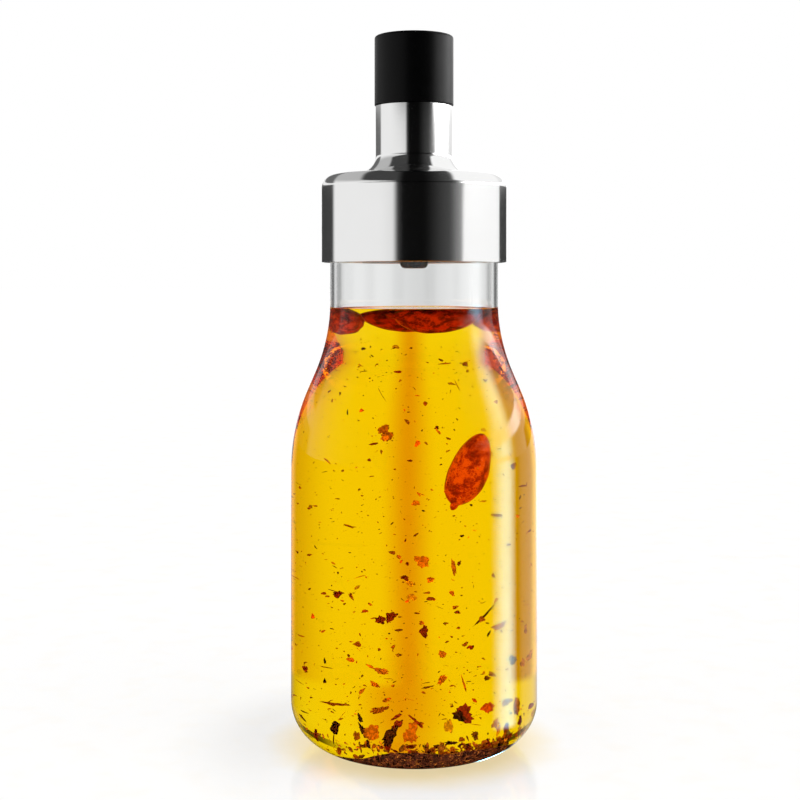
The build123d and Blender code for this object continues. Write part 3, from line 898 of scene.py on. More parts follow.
def berry_surface(length, width, fold_depth, bend, draws):
    """Grid of a berry along X in millimetres, and the depth of its folds, about 0 to 1.

    At u from 0 to pi along it and v round it, the point is (half length times cos u, r cos v,
    r sin v + lift). The radius r is half the width times (1 - t squared) to the 0.55, where t runs
    from 1 to -1 along the body, less the folds: cosines of whole numbers times v whose phase wanders
    with u, squared into creases. The stem end is a little thicker. The nub is a small ellipse round
    the body's stem end, joined on by adding fourth powers."""
    along = np.linspace(0, math.pi, BERRY_ROWS)[:, None]
    around = np.linspace(0, 2 * math.pi, BERRY_COLUMNS, endpoint=False)[None]
    folds = np.zeros((BERRY_ROWS, BERRY_COLUMNS))
    for count in FOLD_COUNTS:
        phase, wander = draws.uniform(0, 2 * math.pi), draws.uniform(0.5, 1.4)
        drift = draws.uniform(-1.5, 1.5)
        wave = np.cos(count * around + phase + wander * np.sin(3 * along + phase) + drift * along)
        folds += (0.5 - 0.5 * wave) ** 2 / count ** 0.5
    pits = np.sin(9 * along + 2 * np.sin(2 * around + phase)) * np.sin(5 * around + 2 * np.sin(4 * along))
    depth = folds / folds.max() * (1 - PIT_SHARE) + PIT_SHARE * pits
    x = length / 2 * np.cos(along)
    body = np.clip(1 - ((x - NUB_LENGTH / 2) / (length / 2 - NUB_LENGTH / 2)) ** 2, 0, 1)
    nub = np.clip(1 - ((x + length / 2 - NUB_LENGTH) / NUB_LENGTH) ** 2, 0, 1)
    spindle = width / 2 * body ** BLUNTNESS * (1 - TAPER * np.cos(along))
    plain = (spindle ** 4 + (NUB_RADIUS * nub ** 0.5) ** 4) ** 0.25
    radius = plain * (1 - fold_depth * depth)
    lift = bend * (1 + LIFT_LEAN * np.cos(along)) * (width / 2 - plain)
    grid = np.stack([x * np.ones_like(around), radius * np.cos(around), radius * np.sin(around) + lift], -1)
    return grid, depth


def turn_matrix(about_z, about_y):
    """Turn about Y and then about Z, in degrees, for points as rows."""
    z, y = math.radians(about_z), math.radians(about_y)
    level = np.array([[math.cos(z), math.sin(z), 0], [-math.sin(z), math.cos(z), 0], [0, 0, 1]])
    rise = np.array([[math.cos(y), 0, -math.sin(y)], [0, 1, 0], [math.sin(y), 0, math.cos(y)]])
    return rise @ level


# %% [markdown]
# Berry skin. The front and back berries have a darker copy of the skin: painted shade on the sides that
# face the dark front of the room. The sinking and the right berry have a brighter copy: painted light
# shining through them. The left one keeps the plain red. The skin has a fine net of wrinkles: the edges
# of small cells, painted a bit paler than what is between, as a fine highlight. Three tones are picked
# from one sum of blotches, cells, folds and net, and the folds pull it darker as painted shade. What lies
# in oil hardly shines, because oil and skin bend light alike, so its gloss is low.

# %% Berry skins
IN_OIL_GLOSS = 0.06
SKIN_SPREAD = 0.15
BLOTCH_SCALE, NET_SCALE, CELL_SCALE, CREASE_SCALE = 0.55, 1.3, 4.0, 1.6
NET_WIDTH = 0.12
CELL_TONE, PAINTED_FOLD_SHADE, PAINTED_NET_HIGHLIGHT = 0.09, 0.16, 0.12
LUMP_HEIGHT, CELL_HEIGHT, NET_HEIGHT = 0.5, 0.35, 0.3
SKIN_BLUR, FOLD_BLUR = 0.30, 0.2
CREASE_DEPTH, CREASE_BUMP = 0.16, 0.8


def berry_skin(name, deep, mid, bright):
    """Leathery skin: three tones mixed by noise, painted darker in the folds as shade, with a net of wrinkles
    painted paler as a highlight.
    """
    made, start = empty_finish(name)
    place = place_mm(start)
    blotch = noise(start, place, BLOTCH_SCALE, 6.0, 0.6)
    cells = {"Vector": place, "Scale": NET_SCALE}
    net = start.node("TexVoronoi", {"feature": "DISTANCE_TO_EDGE"}, cells).rise(0, NET_WIDTH)
    fine = start.node("TexVoronoi", {"feature": "F1"}, {"Vector": place, "Scale": CELL_SCALE})
    fold = start.node("Attribute", {"attribute_name": "fold"}, output="Fac")
    stops = [(0.5 - SKIN_SPREAD, deep), (0.5, mid), (0.5 + SKIN_SPREAD, bright)]
    # The folds pull the tone darker: painted shade in the creases.
    # The net pulls the tone paler: a painted highlight on the wrinkles.
    pick = blotch + CELL_TONE * fine - PAINTED_FOLD_SHADE * fold + PAINTED_NET_HIGHLIGHT * (1 - net)
    tone = start.node("ValToRGB", {"stops": stops}, {"Fac": pick})
    lumps = LUMP_HEIGHT * noise(start, place, CREASE_SCALE, 4.0)
    height = lumps + CELL_HEIGHT * fine + NET_HEIGHT * net
    finished(start, {"Base Color": tone, "Roughness": SKIN_BLUR + FOLD_BLUR * fold,
                     "Specular IOR Level": IN_OIL_GLOSS,
                     "Normal": bump(start, height, CREASE_DEPTH, CREASE_BUMP)})
    return made


# The darker and the brighter skin are shaded and lit copies of one skin: painted shade and painted light.
shade_painted_skin = berry_skin("shade_painted_skin", (0.060, 0.002, 0.012), (0.13, 0.004, 0.018), (0.40, 0.018, 0.03))
red_skin = berry_skin("red_skin", (0.10, 0.004, 0.014), (0.20, 0.008, 0.022), (0.46, 0.035, 0.04))
light_painted_skin = berry_skin("light_painted_skin", (0.14, 0.006, 0.008), (0.27, 0.014, 0.012), (0.55, 0.065, 0.025))
print("berry skins ready")

# %% [markdown]
# Each berry lies where its solid lies: the middle comes from the solid's box, and the floating ones have
# the solid's turn and tilt. The sinking one is a little longer and tipped 3 degrees less, as in the
# picture. A length is a share of the usual berry's. A floating berry is a little slimmer, more deeply
# folded and bent flat, and its back lies just under the oil's surface.

# %% Berries
BERRY_LENGTH, BERRY_WIDTH = 18.4, 8.2
FLOATING = {"stoutness": 0.98, "folds": 0.13, "bend": 0.7}
SINKING = {"stoutness": 1.05, "folds": 0.09, "bend": 0}
UNDER_SURFACE = 0.1

# For each node its length share, turn and tilt in degrees, and skin.
berries = {"berry_floating_front": (1.0, 3, 0, shade_painted_skin), "berry_floating_left": (0.86, 74, 5, red_skin),
           "berry_floating_right": (0.78, 118, 4, light_painted_skin),
           "berry_floating_back": (0.94, 12, 3, shade_painted_skin), "berry_sinking": (1.04, -12, 69, light_painted_skin)}
for node, (length_share, turn, tilt, finish) in berries.items():
    floats = "floating" in node
    kind = FLOATING if floats else SINKING
    grid, depth = berry_surface(BERRY_LENGTH * length_share, BERRY_WIDTH * kind["stoutness"],
                                kind["folds"], kind["bend"], rng)
    placed = grid @ turn_matrix(turn, -tilt) + np.array(sum(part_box(node), Vector())) / 2 / MM
    if floats:
        placed[..., 2] += fill_height - UNDER_SURFACE - placed[..., 2].max()
    piece = skin(node.replace("berry", "wrinkled_berry"), placed[::-1] * MM)
    # The first and last row have each shrunk to one point, so their depths are one zero each.
    flat = depth[::-1].reshape(-1)[BERRY_COLUMNS:BERRY_COLUMNS * (BERRY_ROWS - 1)]
    mark_points(piece, "fold", np.r_[0, flat, 0])
    dress(piece, finish, "bottle", "berry_skin", node)

# %% [markdown]
# Herb and chilli flakes. There are hundreds, all different, so they are worked out together as one
# array. A flake is a flattened ball: its outline is a circle with random lobes and nicks, its
# thickness thins to the rim, and it is bent a little. A small one has 36 faces. Each flake has its
# own tone, kept as a colour attribute, because dried herbs, chilli and tomato skin lie mixed. Two pale
# tones, pink and grey, are painted highlight: they stand for the bright strip's reflection over the
# flakes that lie under it.

# %% Flake shape
FLAKE_RINGS = 3
LOBE_SHARE, NICK, BEND, TWIST = 0.45, 0.8, 0.35, 0.5
SHADE_LOW, SHADE_HIGH = 0.5, 1.05
# The pink and grey tones are painted highlight, for flakes under the bright strip's reflection.
TONES = {"leaf": (0.085, 0.016, 0.014), "maroon": (0.30, 0.022, 0.010), "red": (0.85, 0.12, 0.06),
         "rust": (0.60, 0.14, 0.02), "brown": (0.34, 0.10, 0.018), "orange": (0.95, 0.28, 0.02),
         "amber": (0.97, 0.50, 0.03), "pink": (0.78, 0.34, 0.24), "grey": (0.50, 0.34, 0.30),
         "olive": (0.38, 0.22, 0.015)}


def flake_mesh(name, centres, lengths, widths, frames, tones, draws, sides=9, jag=0.28, thickness=0.10):
    """One mesh of many flakes, sizes and places in millimetres.

    At u from 0 to pi and v round it, a flake's point is length times wave(v) sin u cos v along its
    first axis, width times wave(v) sin u sin v along its second, and thickness times cos u plus a
    bend that grows with the square of the first, along its third. The wave has two lobes and nicks."""
    count = len(centres)
    down = np.linspace(0, math.pi, FLAKE_RINGS + 2)[None, :, None]
    around = np.linspace(0, 2 * math.pi, sides, endpoint=False)[None, None]
    lobes = sum(np.cos(turns * around + draws.uniform(0, 2 * math.pi, (count, 1, 1))) for turns in (2, 3))
    wave = 1 + jag * (LOBE_SHARE * lobes + draws.uniform(-NICK, NICK, (count, 1, sides)))
    flat_x = wave * np.sin(down) * np.cos(around)
    flat_y = wave * np.sin(down) * np.sin(around)
    bend = draws.uniform(-BEND, BEND, (count, 1, 1))
    lift = thickness * np.cos(down) + bend * flat_x ** 2 + TWIST * bend * flat_x * flat_y
    sizes = np.stack([lengths, widths, np.sqrt(lengths * widths)], -1)[:, None, None] / 2
    local = np.stack([flat_x, flat_y, lift], -1) * sizes
    points = centres[:, None, None] + np.einsum("nrci,nij->nrcj", local, frames)
    poles = points[:, [0, -1], :1].reshape(count, 2, 3)
    vertices = np.concatenate([poles, points[:, 1:-1].reshape(count, -1, 3)], 1)
    ring = 2 + np.arange(FLAKE_RINGS * sides).reshape(FLAKE_RINGS, sides)
    turned_on = np.roll(ring, -1, 1)
    quads = np.stack([ring[:-1], ring[1:], turned_on[1:], turned_on[:-1]], -1).reshape(-1, 4)
    top = np.stack([np.zeros(sides, int), ring[0], turned_on[0]], -1)
    bottom = np.stack([np.ones(sides, int), turned_on[-1], ring[-1]], -1)
    shift = (np.arange(count) * vertices.shape[1])[:, None, None]
    faces = (quads + shift).reshape(-1, 4).tolist()
    faces += (top + shift).reshape(-1, 3).tolist() + (bottom + shift).reshape(-1, 3).tolist()
    mesh = bpy.data.meshes.new(name)
    mesh.from_pydata(vertices.reshape(-1, 3) * MM, [], faces)
    shades = np.array([TONES[tone] for tone in tones]) * draws.uniform(SHADE_LOW, SHADE_HIGH, (count, 1))
    shades = np.concatenate([shades, np.ones((count, 1))], 1).repeat(vertices.shape[1], 0)
    mesh.attributes.new("tone", "FLOAT_COLOR", "POINT").data.foreach_set("color", shades.reshape(-1))
    return stood(name, mesh)


def axes_on(normal, draws):
    """Right-handed axes whose third is the given direction, turned at random about it."""
    normal = normal / np.linalg.norm(normal, axis=1, keepdims=True)
    first = np.cross(normal, draws.normal(size=normal.shape))
    first /= np.linalg.norm(first, axis=1, keepdims=True)
    return np.stack([first, np.cross(normal, first), normal], 1)


# %% [markdown]
# Dried leaf is opaque, with darker veins. Skins of chilli and tomato let light through, so they glow
# orange against the bright oil: a share of their surface transmits, and bends light hardly at all.

# %% Flake finishes
VEIN_SCALE, VEIN_RISE, VEIN_DIM, VEIN_DEPTH = 1.6, (0.40, 0.62), 0.5, 0.10
SKIN_IOR, SKIN_THROUGH = 1.02, 0.6


def flake_finish(name, through):
    """Dried herb or skin in the flake's own tone, veined and pitted. Skin lets some light through."""
    made, start = empty_finish(name)
    own = start.node("Attribute", {"attribute_name": "tone"}, output="Color")
    vein = noise(start, place_mm(start), VEIN_SCALE, 5.0, 0.8)
    dim = start.node("VectorMath", {"operation": "SCALE"}, {0: own, "Scale": VEIN_DIM})
    inputs = {"Base Color": start.mix(vein.rise(*VEIN_RISE), dim, own), "Roughness": 0.5,
              "Specular IOR Level": IN_OIL_GLOSS, "Normal": bump(start, vein, VEIN_DEPTH, 0.8)}
    if through:
        inputs.update({"Transmission Weight": through, "IOR": SKIN_IOR})
    finished(start, inputs)
    return made


herb_flake = flake_finish("herb_flake", 0)
skin_flake = flake_finish("skin_flake", SKIN_THROUGH)
print("flake finishes ready")

# %% [markdown]
# Where the flakes hang. Most specks are small and spread through the oil, denser towards the floor.
# Their distance from the axis is drawn so that they fill the round section evenly, and they stay
# clear of the glass. The table has, for each kind: its finish, how many, how strongly they settle, the
# smallest and largest length in millimetres, the narrowest and widest share of that, how upright they
# hang and their tones.

# %% Loose flakes
LOOSE_LOW, UNDER_BERRIES, LOOSE_CLEAR = 4.5, 10, 2.0
inner_lip = (NECK_RADIUS - GLASS_WALL, glass_height, 0)
inner_profile = outline([(0, BASE_THICKNESS, 0)] + inner_wall + [inner_lip])[0]


def bore(height):
    """Inner radius of the bottle at a height, in millimetres."""
    return np.interp(height, inner_profile[:, 1], inner_profile[:, 0])


def hung(count, low, high, settle, clear, draws):
    """Random places in the oil between two heights, denser at the bottom as settle grows."""
    height = low + (high - low) * draws.uniform(size=count) ** settle
    radius = (bore(height) - clear) * np.sqrt(draws.uniform(size=count))
    angle = draws.uniform(0, 2 * math.pi, count)
    return np.stack([radius * np.cos(angle), radius * np.sin(angle), height], -1)


kinds = [("pepper_specks", herb_flake, 1300, 1.2, (0.18, 0.50), (0.5, 1.0), 0.9, ("olive", "brown", "rust")),
         ("herb_bits", herb_flake, 170, 1.5, (0.5, 1.5), (0.25, 0.6), 0.9, ("leaf", "brown", "maroon")),
         ("chilli_bits", herb_flake, 230, 1.5, (0.4, 1.4), (0.4, 0.9), 0.9,
          ("rust", "maroon", "red", "brown")),
         ("skin_bits", skin_flake, 110, 1.5, (0.8, 2.2), (0.5, 0.95), 0.9, ("orange", "amber", "rust")),
         ("stem_bits", herb_flake, 34, 1.6, (1.4, 4.0), (0.06, 0.12), 0.5, ("brown", "rust"))]
for name, finish, count, settle, (small, large), (narrow, broad), upright, tones in kinds:
    centres = hung(count, LOOSE_LOW, fill_height - UNDER_BERRIES, settle, LOOSE_CLEAR, rng)
    lengths = small + (large - small) * rng.uniform(size=count) ** 2
    widths = lengths * rng.uniform(narrow, broad, count)
    frames = axes_on(rng.normal(size=(count, 3)) * (upright, upright, 1), rng)
    piece = flake_mesh(name, centres, lengths, widths, frames, rng.choice(tones, count), rng)
    dress(piece, finish, "bottle", "herbs")

# %% [markdown]
# The bed. Herbs settle where the bottle was last tilted: they lie as a lumpy crescent in the rounded
# heel towards the front and thin out to its ends. Its underside follows the glass, its top is raised by
# a few slow waves. Loose flakes lie over it and over the floor.

# %% Bed of herbs
BED_START, BED_END = math.radians(-170), math.radians(12)
BED_LOW, BED_HIGH = -1.3, 0.95
BED_CLEAR = 0.15
BED_THICK = 1.3
BED_GAP, GAP_SOFT = math.radians(-120), 0.35
BED_ROWS, BED_COLUMNS = 200, 48
WAVE_COUNTS, EDGE_COUNTS = (1, 2, 4, 7, 11), (5, 9, 16, 31)
WAVES_ROUND, WAVE_SWING, ANY_PHASE = 3, 2, 6.3
END_TAPER, BACK_ROUNDING = 0.6, 0.7
EDGE_SHIFT, EDGE_SWELL, CLIMB = 0.08, 0.13, 0.06
THIN_WIDTH, FULL_GAIN = 0.80, 0.20
LUMP, LEAST_LUMP, MOST_LUMP = 0.55, 0.25, 2.4
heel_circle = body_radius - GLASS_WALL - inner_heel


def heel_place(around, along, lifted):
    """Place on the rounded inner heel: along is the angle up from the floor, lifted is in mm inwards.

    Below zero the place lies on the flat floor, as far in as the arc would be long. Above zero it is the
    heel circle's radius plus the arc's radius times sin along, at the height of its centre less cos."""
    bent = np.maximum(along, 0)
    reach = heel_circle + (inner_heel - lifted) * np.sin(bent) + inner_heel * np.minimum(along, 0)
    height = BASE_THICKNESS + inner_heel - (inner_heel - lifted) * np.cos(bent)
    return np.stack([reach * np.cos(around), reach * np.sin(around), height + 0 * around], -1)


def bed_grid(draws):
    """Crescent shell: at t along it and v round it, along = middle - half width times cos v, and the
    lift is the clearance plus the thickness times sin v where that is above zero, with waves on it."""
    share = np.linspace(0, 1, BED_ROWS)[:, None]
    turn = np.linspace(0, 2 * math.pi, BED_COLUMNS, endpoint=False)[None]
    taper = np.sin(math.pi * share) ** END_TAPER
    around = BED_START + (BED_END - BED_START) * share + 0 * turn
    waves = 0
    for count in WAVE_COUNTS:
        phase, swing_phase = draws.uniform(0, ANY_PHASE), draws.uniform(0, ANY_PHASE)
        swing = WAVE_SWING * np.cos(turn * count + swing_phase)
        waves = waves + np.sin(count * around * WAVES_ROUND + phase + swing) / count
    edge = sum(np.sin(count * around + draws.uniform(0, ANY_PHASE)) / count for count in EDGE_COUNTS)
    middle = (BED_LOW + BED_HIGH) / 2 + EDGE_SHIFT * edge + CLIMB * share
    full = np.clip((around - BED_GAP) / GAP_SOFT, 0, 1)
    half = (BED_HIGH - BED_LOW) / 2 * taper * (1 + EDGE_SWELL * edge) * (THIN_WIDTH + FULL_GAIN * full)
    lump = np.clip(1 + LUMP * waves, LEAST_LUMP, MOST_LUMP)
    lifted = BED_CLEAR + BED_THICK * taper * lump * np.clip(np.sin(turn), 0, 1) ** BACK_ROUNDING
    return heel_place(around, middle - half * np.cos(turn), lifted)


bed = skin("herb_bed", bed_grid(rng) * MM)
print("bed", BED_ROWS * BED_COLUMNS, "points")

# %% [markdown]
# The bed's finish. Soaked herbs are a dark purple-brown, and crumbs of skin among them are orange. So the
# grain picks the tone, and where the bed faces up into the light it picks a paler one. How far each
# point faces up is kept as an attribute.

# %% Finish of the bed
GRAIN_SCALE, GRAIN_DISTORTION, GRAIN_DEPTH = 1.3, 1.4, 0.6
TOP_LIGHT = 0.25
BED_STOPS = [(0.40, (0.025, 0.007, 0.016)), (0.54, (0.085, 0.020, 0.032)), (0.63, (0.24, 0.06, 0.04)),
             (0.74, (0.95, 0.42, 0.12))]

upward_lean = np.empty(len(bed.data.vertices) * 3)
bed.data.vertices.foreach_get("normal", upward_lean)
mark_points(bed, "top", np.clip(upward_lean[2::3], 0, 1))
settled_herbs, start = empty_finish("settled_herbs")
grain = noise(start, place_mm(start), GRAIN_SCALE, 6.0, GRAIN_DISTORTION)
top = start.node("Attribute", {"attribute_name": "top"}, output="Fac")
bed_tone = start.node("ValToRGB", {"stops": BED_STOPS}, {"Fac": grain + TOP_LIGHT * top})
finished(start, {"Base Color": bed_tone, "Roughness": 0.6, "Specular IOR Level": IN_OIL_GLOSS,
                 "Normal": bump(start, grain, GRAIN_DEPTH)})
dress(bed, settled_herbs, "bottle", "herbs", "herb_sediment")

# %% [markdown]
# Flakes lie over the bed and on the floor round it, most of them near the bed's upper edge at the front.
# Each follows the surface under it and is then tipped at random. The table has, for each kind: its
# finish, how many, the smallest and largest length in millimetres, the narrowest and widest share of
# that, and its tones. A tone that stands twice comes twice as often.

# %% Flakes that lie on the bed and the floor
LYING_MIDDLE, LYING_SPREAD = math.radians(-72), 0.55
OVER_EDGE, EDGE_SPREAD = 0.16, 0.45
RAISED_ON_BED, RAISED_ON_FLOOR = (0.5, 1.9), (0.4, 1.5)
MOSTLY_SMALL = 1.7
LYING_TIP = 0.7
LYING_SIDES = 11

bed_tones = ("rust", "brown", "orange", "leaf", "maroon", "rust")
lying_kinds = [("bed_flakes", herb_flake, 330, (0.7, 2.6), (0.3, 0.8), bed_tones),
               ("bed_skins", skin_flake, 90, (0.9, 2.6), (0.4, 0.8), ("orange", "amber", "rust", "red"))]
for name, finish, count, (small, large), (narrow, broad), tones in lying_kinds:
    around = rng.normal(LYING_MIDDLE, LYING_SPREAD, count)
    along = BED_HIGH + OVER_EDGE - np.abs(rng.normal(0, EDGE_SPREAD, count))
    centres = heel_place(around, along, BED_CLEAR + rng.uniform(*RAISED_ON_BED, count))
    centres[:, 2] += np.where(along < 0, rng.uniform(*RAISED_ON_FLOOR, count), 0)
    lengths = small + (large - small) * rng.uniform(size=count) ** MOSTLY_SMALL
    widths = lengths * rng.uniform(narrow, broad, count)
    lean = np.maximum(along, 0)
    normal = np.stack([-np.sin(lean) * np.cos(around), -np.sin(lean) * np.sin(around), np.cos(lean)], -1)
    frames = axes_on(normal + rng.normal(0, LYING_TIP, (count, 3)), rng)
    piece = flake_mesh(name, centres, lengths, widths, frames, rng.choice(tones, count), rng, LYING_SIDES)
    dress(piece, finish, "bottle", "herbs")

# %% [markdown]
# The larger flakes have a place in the picture. A place is a pixel, and what lies there depends on how
# the round wall bends the view: a ray that meets the wall aside of the middle turns towards the axis,
# and one that comes from above turns flatter. That is Snell's law twice, from above and from the side.

# %% From a pixel to a place
AXIS_COLUMN = 413.6
FOCAL_PIXELS = CAMERA_LENS / SENSOR_WIDTH * FRAME_WIDTH
HORIZON_ROW = FRAME_WIDTH * (0.5 + CAMERA_SHIFT)
LEAN_STEP = 0.2
RIM_LIMIT = 0.97
outer_side = outline([(0, 0, 0)] + outer_wall + [(NECK_RADIUS, glass_height, 0)])[0]


def wall_at(height):
    """Outer radius at heights, and how far the wall's outward normal leans up, in radians."""
    radius = np.interp(height, outer_side[:, 1], outer_side[:, 0])
    above = np.interp(height + LEAN_STEP, outer_side[:, 1], outer_side[:, 0])
    return radius, np.arctan((radius - above) / LEAN_STEP)


def seen_at(column, row, depth):
    """Places in millimetres that show at pixels of the picture, at distances behind the axis plane.

    The ray meets the wall aside of the middle by a share of its radius. Its angle to the wall's normal
    is the arc sine of that share outside, and of that share over the oil's index inside. It runs on to
    the distance that is asked for, aside by the difference of the two, and up or down by the angle
    that the same law gives for its slope and the wall's lean."""
    slope = (row - HORIZON_ROW) / FOCAL_PIXELS
    radius, lean = wall_at(CAMERA_HEIGHT - slope * (CAMERA_DISTANCE - body_radius))
    radius, lean = wall_at(CAMERA_HEIGHT - slope * (CAMERA_DISTANCE - radius))
    aside = (column - AXIS_COLUMN) * np.sqrt(CAMERA_DISTANCE ** 2 - radius ** 2) / FOCAL_PIXELS / radius
    aside = np.clip(aside, -RIM_LIMIT, RIM_LIMIT)
    outside, inside = np.arcsin(aside), np.arcsin(aside / OIL_IOR)
    wall_depth = -radius * np.cos(outside)
    run = (depth - wall_depth) / np.cos(outside - inside)
    entering = np.arcsin(np.sin(lean * np.cos(outside) - np.arctan(slope)) / OIL_IOR) - lean * np.cos(outside)
    height = CAMERA_HEIGHT - slope * (CAMERA_DISTANCE + wall_depth) + run * np.tan(entering)
    x = radius * aside - run * np.sin(outside - inside)
    return np.stack([x, depth, height], -1)


print("one pixel at the axis is", round(CAMERA_DISTANCE / FOCAL_PIXELS, 3), "mm")

# %% [markdown]
# The flakes and skins that stand out in the picture, each with a name. A row has the column and row of
# its middle, its length and width, all in whole pixels, its angle in degrees and its tone. A place by
# place list is the plain way here, because where a herb hangs follows no rule.

# %% Places of the larger flakes
herb_spots = {
    "heel_leaf": (339, 727, 11, 10, 70, "leaf"), "heel_seed": (319, 732, 11, 5, 85, "maroon"),
    "stalk": (363, 718, 11, 4, 100, "leaf"), "stalk_foot": (366, 730, 13, 5, 108, "leaf"),
    "long_leaf": (391, 736, 25, 9, 56, "leaf"), "long_leaf_tip": (398, 725, 12, 8, 55, "maroon"),
    "spike": (397, 717, 13, 3, 35, "maroon"), "dark_stem": (416, 722, 17, 3, -38, "maroon"),
    "membrane_foot": (410, 747, 12, 4, 0, "maroon"), "big_chilli": (460, 714, 20, 16, -20, "maroon"),
    "big_chilli_core": (457, 716, 13, 11, 10, "leaf"), "red_square": (484, 707, 12, 11, 70, "red"),
    "brown_lump": (471, 734, 9, 8, 60, "brown"), "rust_lump": (458, 738, 10, 6, 80, "rust"),
    "dark_lump": (448, 742, 11, 6, 20, "leaf"), "tall_lump": (435, 746, 8, 9, 95, "brown"),
    # The pink and grey flakes here and below have the bright strip's highlight painted into their tone.
    "strip_shard": (513, 705, 19, 6, 95, "pink"), "strip_leaf": (505, 701, 9, 7, 60, "grey"),
    "strip_crumb": (490, 723, 9, 6, 50, "pink"), "low_strip_crumb": (503, 733, 9, 6, 60, "grey"),
    "right_crumb": (515, 719, 7, 5, 70, "maroon"), "right_lump": (485, 745, 9, 8, 40, "rust"),
    "upright": (451, 567, 17, 4, 92, "rust"), "upright_mate": (457, 563, 6, 3, 70, "maroon"),
    "orange_mate": (405, 578, 8, 5, -10, "maroon"), "pepper": (452, 593, 7, 4, 100, "rust"),
    "pair_above": (455, 607, 5, 4, 40, "brown"), "pair_below": (455, 612, 5, 4, 0, "maroon"),
    "straw": (484, 615, 28, 2, 40, "leaf"), "straw_foot": (477, 619, 6, 5, 30, "rust"),
    "dark_seed": (423, 632, 11, 8, 95, "maroon"), "seed_cap": (421, 623, 5, 4, 30, "rust"),
    "right_chip": (462, 644, 6, 4, 20, "rust"), "middle_chip": (440, 654, 9, 6, 120, "rust"),
    "pale_leaf": (496, 625, 16, 5, 20, "pink"), "pale_leaf_foot": (487, 633, 7, 2, 60, "leaf"),
    "edge_leaf": (521, 630, 9, 5, 85, "pink"), "edge_crumb": (511, 659, 9, 7, 60, "grey"),
    "edge_shard": (519, 662, 9, 4, 90, "pink"), "curl": (487, 674, 9, 4, -25, "pink"),
    "curl_foot": (482, 678, 6, 5, 10, "brown"), "twig": (441, 679, 13, 4, 62, "rust"),
    "thread": (427, 687, 12, 2, 12, "brown"), "right_thread": (463, 684, 16, 2, 92, "rust"),
    "left_chip": (340, 594, 8, 7, 10, "maroon"), "torn_leaf": (382, 620, 10, 8, -50, "maroon"),
    "torn_leaf_end": (391, 617, 12, 10, 40, "maroon"), "red_fleck": (365, 611, 8, 3, 0, "red"),
    "small_fleck": (358, 644, 7, 5, 20, "rust"), "far_left": (309, 669, 7, 6, -30, "maroon"),
    "shell": (383, 671, 14, 6, 5, "rust"), "low_shell": (376, 685, 8, 4, -30, "rust"),
    "left_point": (329, 661, 7, 2, 90, "leaf"), "left_dot": (328, 681, 5, 3, 70, "leaf"),
    "berry_mate": (437, 428, 5, 3, 15, "maroon"), "berry_mate_two": (447, 439, 5, 2, -25, "brown"),
    "left_seed": (370, 460, 4, 3, 0, "maroon"), "membrane_low": (386, 438, 8, 6, 0, "rust")}
skin_spots = {
    "membrane_high": (383, 430, 14, 9, 60, "orange"), "membrane_end": (387, 436, 11, 9, 0, "orange"),
    "round_skin": (374, 732, 14, 14, 0, "orange"), "round_skin_left": (360, 735, 8, 6, 80, "orange"),
    "veined_skin": (411, 733, 18, 13, 85, "orange"), "heel_streak": (381, 710, 19, 6, 8, "orange"),
    "amber_skin": (446, 726, 14, 7, 85, "amber"), "orange_square": (422, 561, 16, 11, 10, "orange"),
    "orange_wing": (430, 580, 9, 5, 30, "orange"), "foot_skin": (367, 745, 9, 3, 0, "orange"),
    "right_skin": (526, 655, 11, 7, 40, "amber"), "left_thread": (340, 704, 32, 2, 0, "rust"),
    "upper_thread": (327, 667, 13, 1, 0, "rust"), "left_skin": (351, 596, 9, 3, 110, "orange"),
    "shell_skin": (376, 684, 8, 4, -30, "orange"), "twig_skin": (440, 680, 10, 5, 60, "orange"),
    "high_skin": (415, 503, 7, 6, 0, "orange"), "low_right_skin": (500, 745, 9, 6, 30, "rust")}
print(len(herb_spots), "flakes and", len(skin_spots), "skins have a place")

# %% [markdown]
# A placed flake faces the camera, tipped a little at random. How far behind the glass it hangs can't be
# told from one picture, so that is drawn at random too, but those in the heel lie near the front
# wall: further back the heel would stretch them. A pixel is more or fewer millimetres depending on how
# the wall stretches the view there, so each flake's size is worked out from its neighbouring pixels.

# %% Placed flakes
FRONT_DEPTH, BACK_DEPTH, WALL_DEPTH = -25.0, 8.0, 4
HEEL_ROW = 711
HEEL_DEPTH = 6.0
LEAST_ACROSS, LEAST_UPWARD, MOST_STRETCH = 0.3, 0.1, 1.2
OVER_FLOOR, OFF_GLASS = 1.0, 1.2
PLACED_TIP = 0.25
PLACED_LOOK = {"sides": 26, "jag": 0.30, "thickness": 0.07}
half_width = FOCAL_PIXELS * body_radius / CAMERA_DISTANCE


def facing_axes(turn, draws):
    """Right-handed axes that face the camera, turned by an angle in the picture and tipped at random."""
    zero = np.zeros(len(turn))
    frames = np.stack([np.stack([np.cos(turn), zero, np.sin(turn)], -1),
                       np.stack([-np.sin(turn), zero, np.cos(turn)], -1),
                       np.stack([zero, zero - 1, zero], -1)], 1)
    tipped = frames + draws.uniform(-PLACED_TIP, PLACED_TIP, frames.shape)
    frames = np.linalg.qr(tipped.transpose(0, 2, 1))[0].transpose(0, 2, 1)
    return frames * np.sign(np.linalg.det(frames))[:, None, None]


def pixel_sizes(columns, rows, depth):
    """Millimetres that one pixel stands for, across and upward, at places behind the glass."""
    across = (seen_at(columns + 0.5, rows, depth) - seen_at(columns - 0.5, rows, depth))[:, 0]
    upward = (seen_at(columns, rows - 0.5, depth) - seen_at(columns, rows + 0.5, depth))[:, 2]
    plain = (CAMERA_DISTANCE + depth) / FOCAL_PIXELS
    most = MOST_STRETCH * plain
    return np.clip(across, LEAST_ACROSS * plain, most), np.clip(upward, LEAST_UPWARD * plain, most)


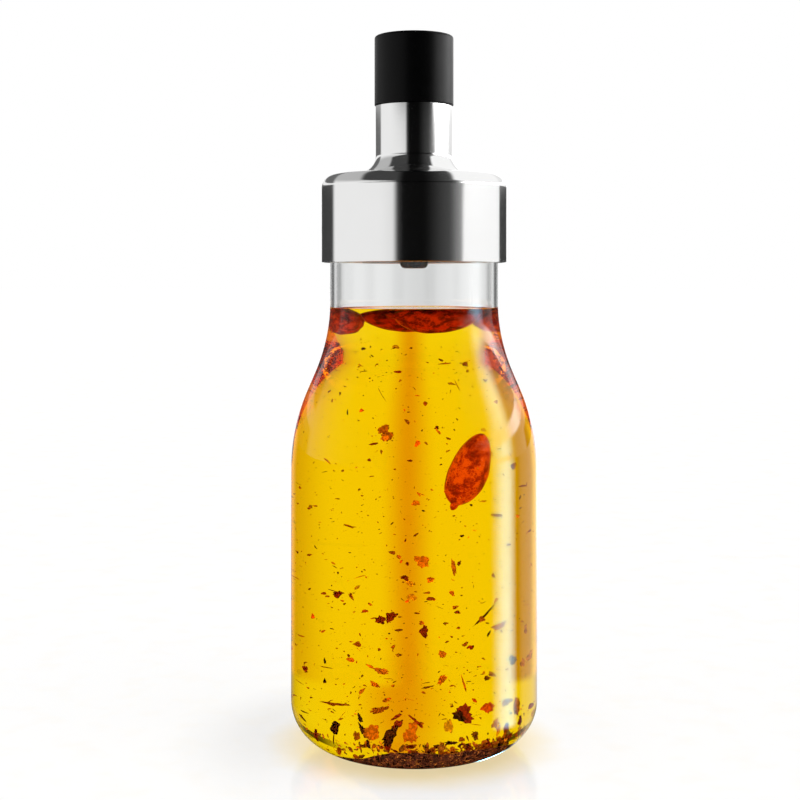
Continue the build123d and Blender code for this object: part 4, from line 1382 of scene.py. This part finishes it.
placed_kinds = [("placed_flakes", herb_flake, herb_spots), ("placed_skins", skin_flake, skin_spots)]
for name, finish, spots in placed_kinds:
    columns, rows, long, wide, angle = np.array([spot[:5] for spot in spots.values()], float).T
    tones = [spot[5] for spot in spots.values()]
    depth = rng.uniform(FRONT_DEPTH, BACK_DEPTH, len(spots))
    reach = body_radius * np.cos(np.arcsin((columns - AXIS_COLUMN) / half_width))
    depth = np.where(rows > HEEL_ROW, -reach + HEEL_DEPTH, np.clip(depth, -reach + WALL_DEPTH, reach))
    centres = seen_at(columns, rows, depth)
    centres[:, 2] = np.maximum(centres[:, 2], BASE_THICKNESS + OVER_FLOOR)
    limit = bore(centres[:, 2]) - OFF_GLASS
    centres[:, :2] *= np.minimum(1, limit / np.hypot(centres[:, 0], centres[:, 1]))[:, None]
    across, upward = pixel_sizes(columns, rows, depth)
    drawn = np.radians(angle)
    frames = facing_axes(np.arctan2(np.sin(drawn) * upward, np.cos(drawn) * across), rng)
    lengths = long * np.hypot(np.cos(drawn) * across, np.sin(drawn) * upward)
    widths = wide * np.hypot(np.sin(drawn) * across, np.cos(drawn) * upward)
    piece = flake_mesh(name, centres, lengths, widths, frames, tones, rng, **PLACED_LOOK)
    dress(piece, finish, "bottle", "herbs")

# %% [markdown]
# The pieces inside the lid are simple mouldings, rings and plates, so each keeps its solid's own mesh and
# gets its real finish: plastic for core, tube and guide, silicone for the seals, steel for the
# strainer and the stem, and the dark tip of the stop.

# %% Finish of the plain nodes
node_finish = {"lid_core": black_plastic, "plug_seal_lower": grey_silicone, "plug_seal_upper": grey_silicone,
               "rim_gasket": grey_silicone, "pour_tube": black_plastic, "drip_ring": black_silicone,
               "strainer_disc": plate_steel, "stem_guide": black_plastic, "stem_grip_ring": black_silicone,
               "cap_core": black_plastic, "cap_o_ring_lower": black_silicone,
               "cap_o_ring_upper": black_silicone, "valve_stem": plate_steel, "stem_stop": dark_nut}
for name, finish in node_finish.items():
    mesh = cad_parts[name].data
    mesh.materials.clear()
    mesh.materials.append(finish)
print(len(node_finish), "nodes keep their mesh")
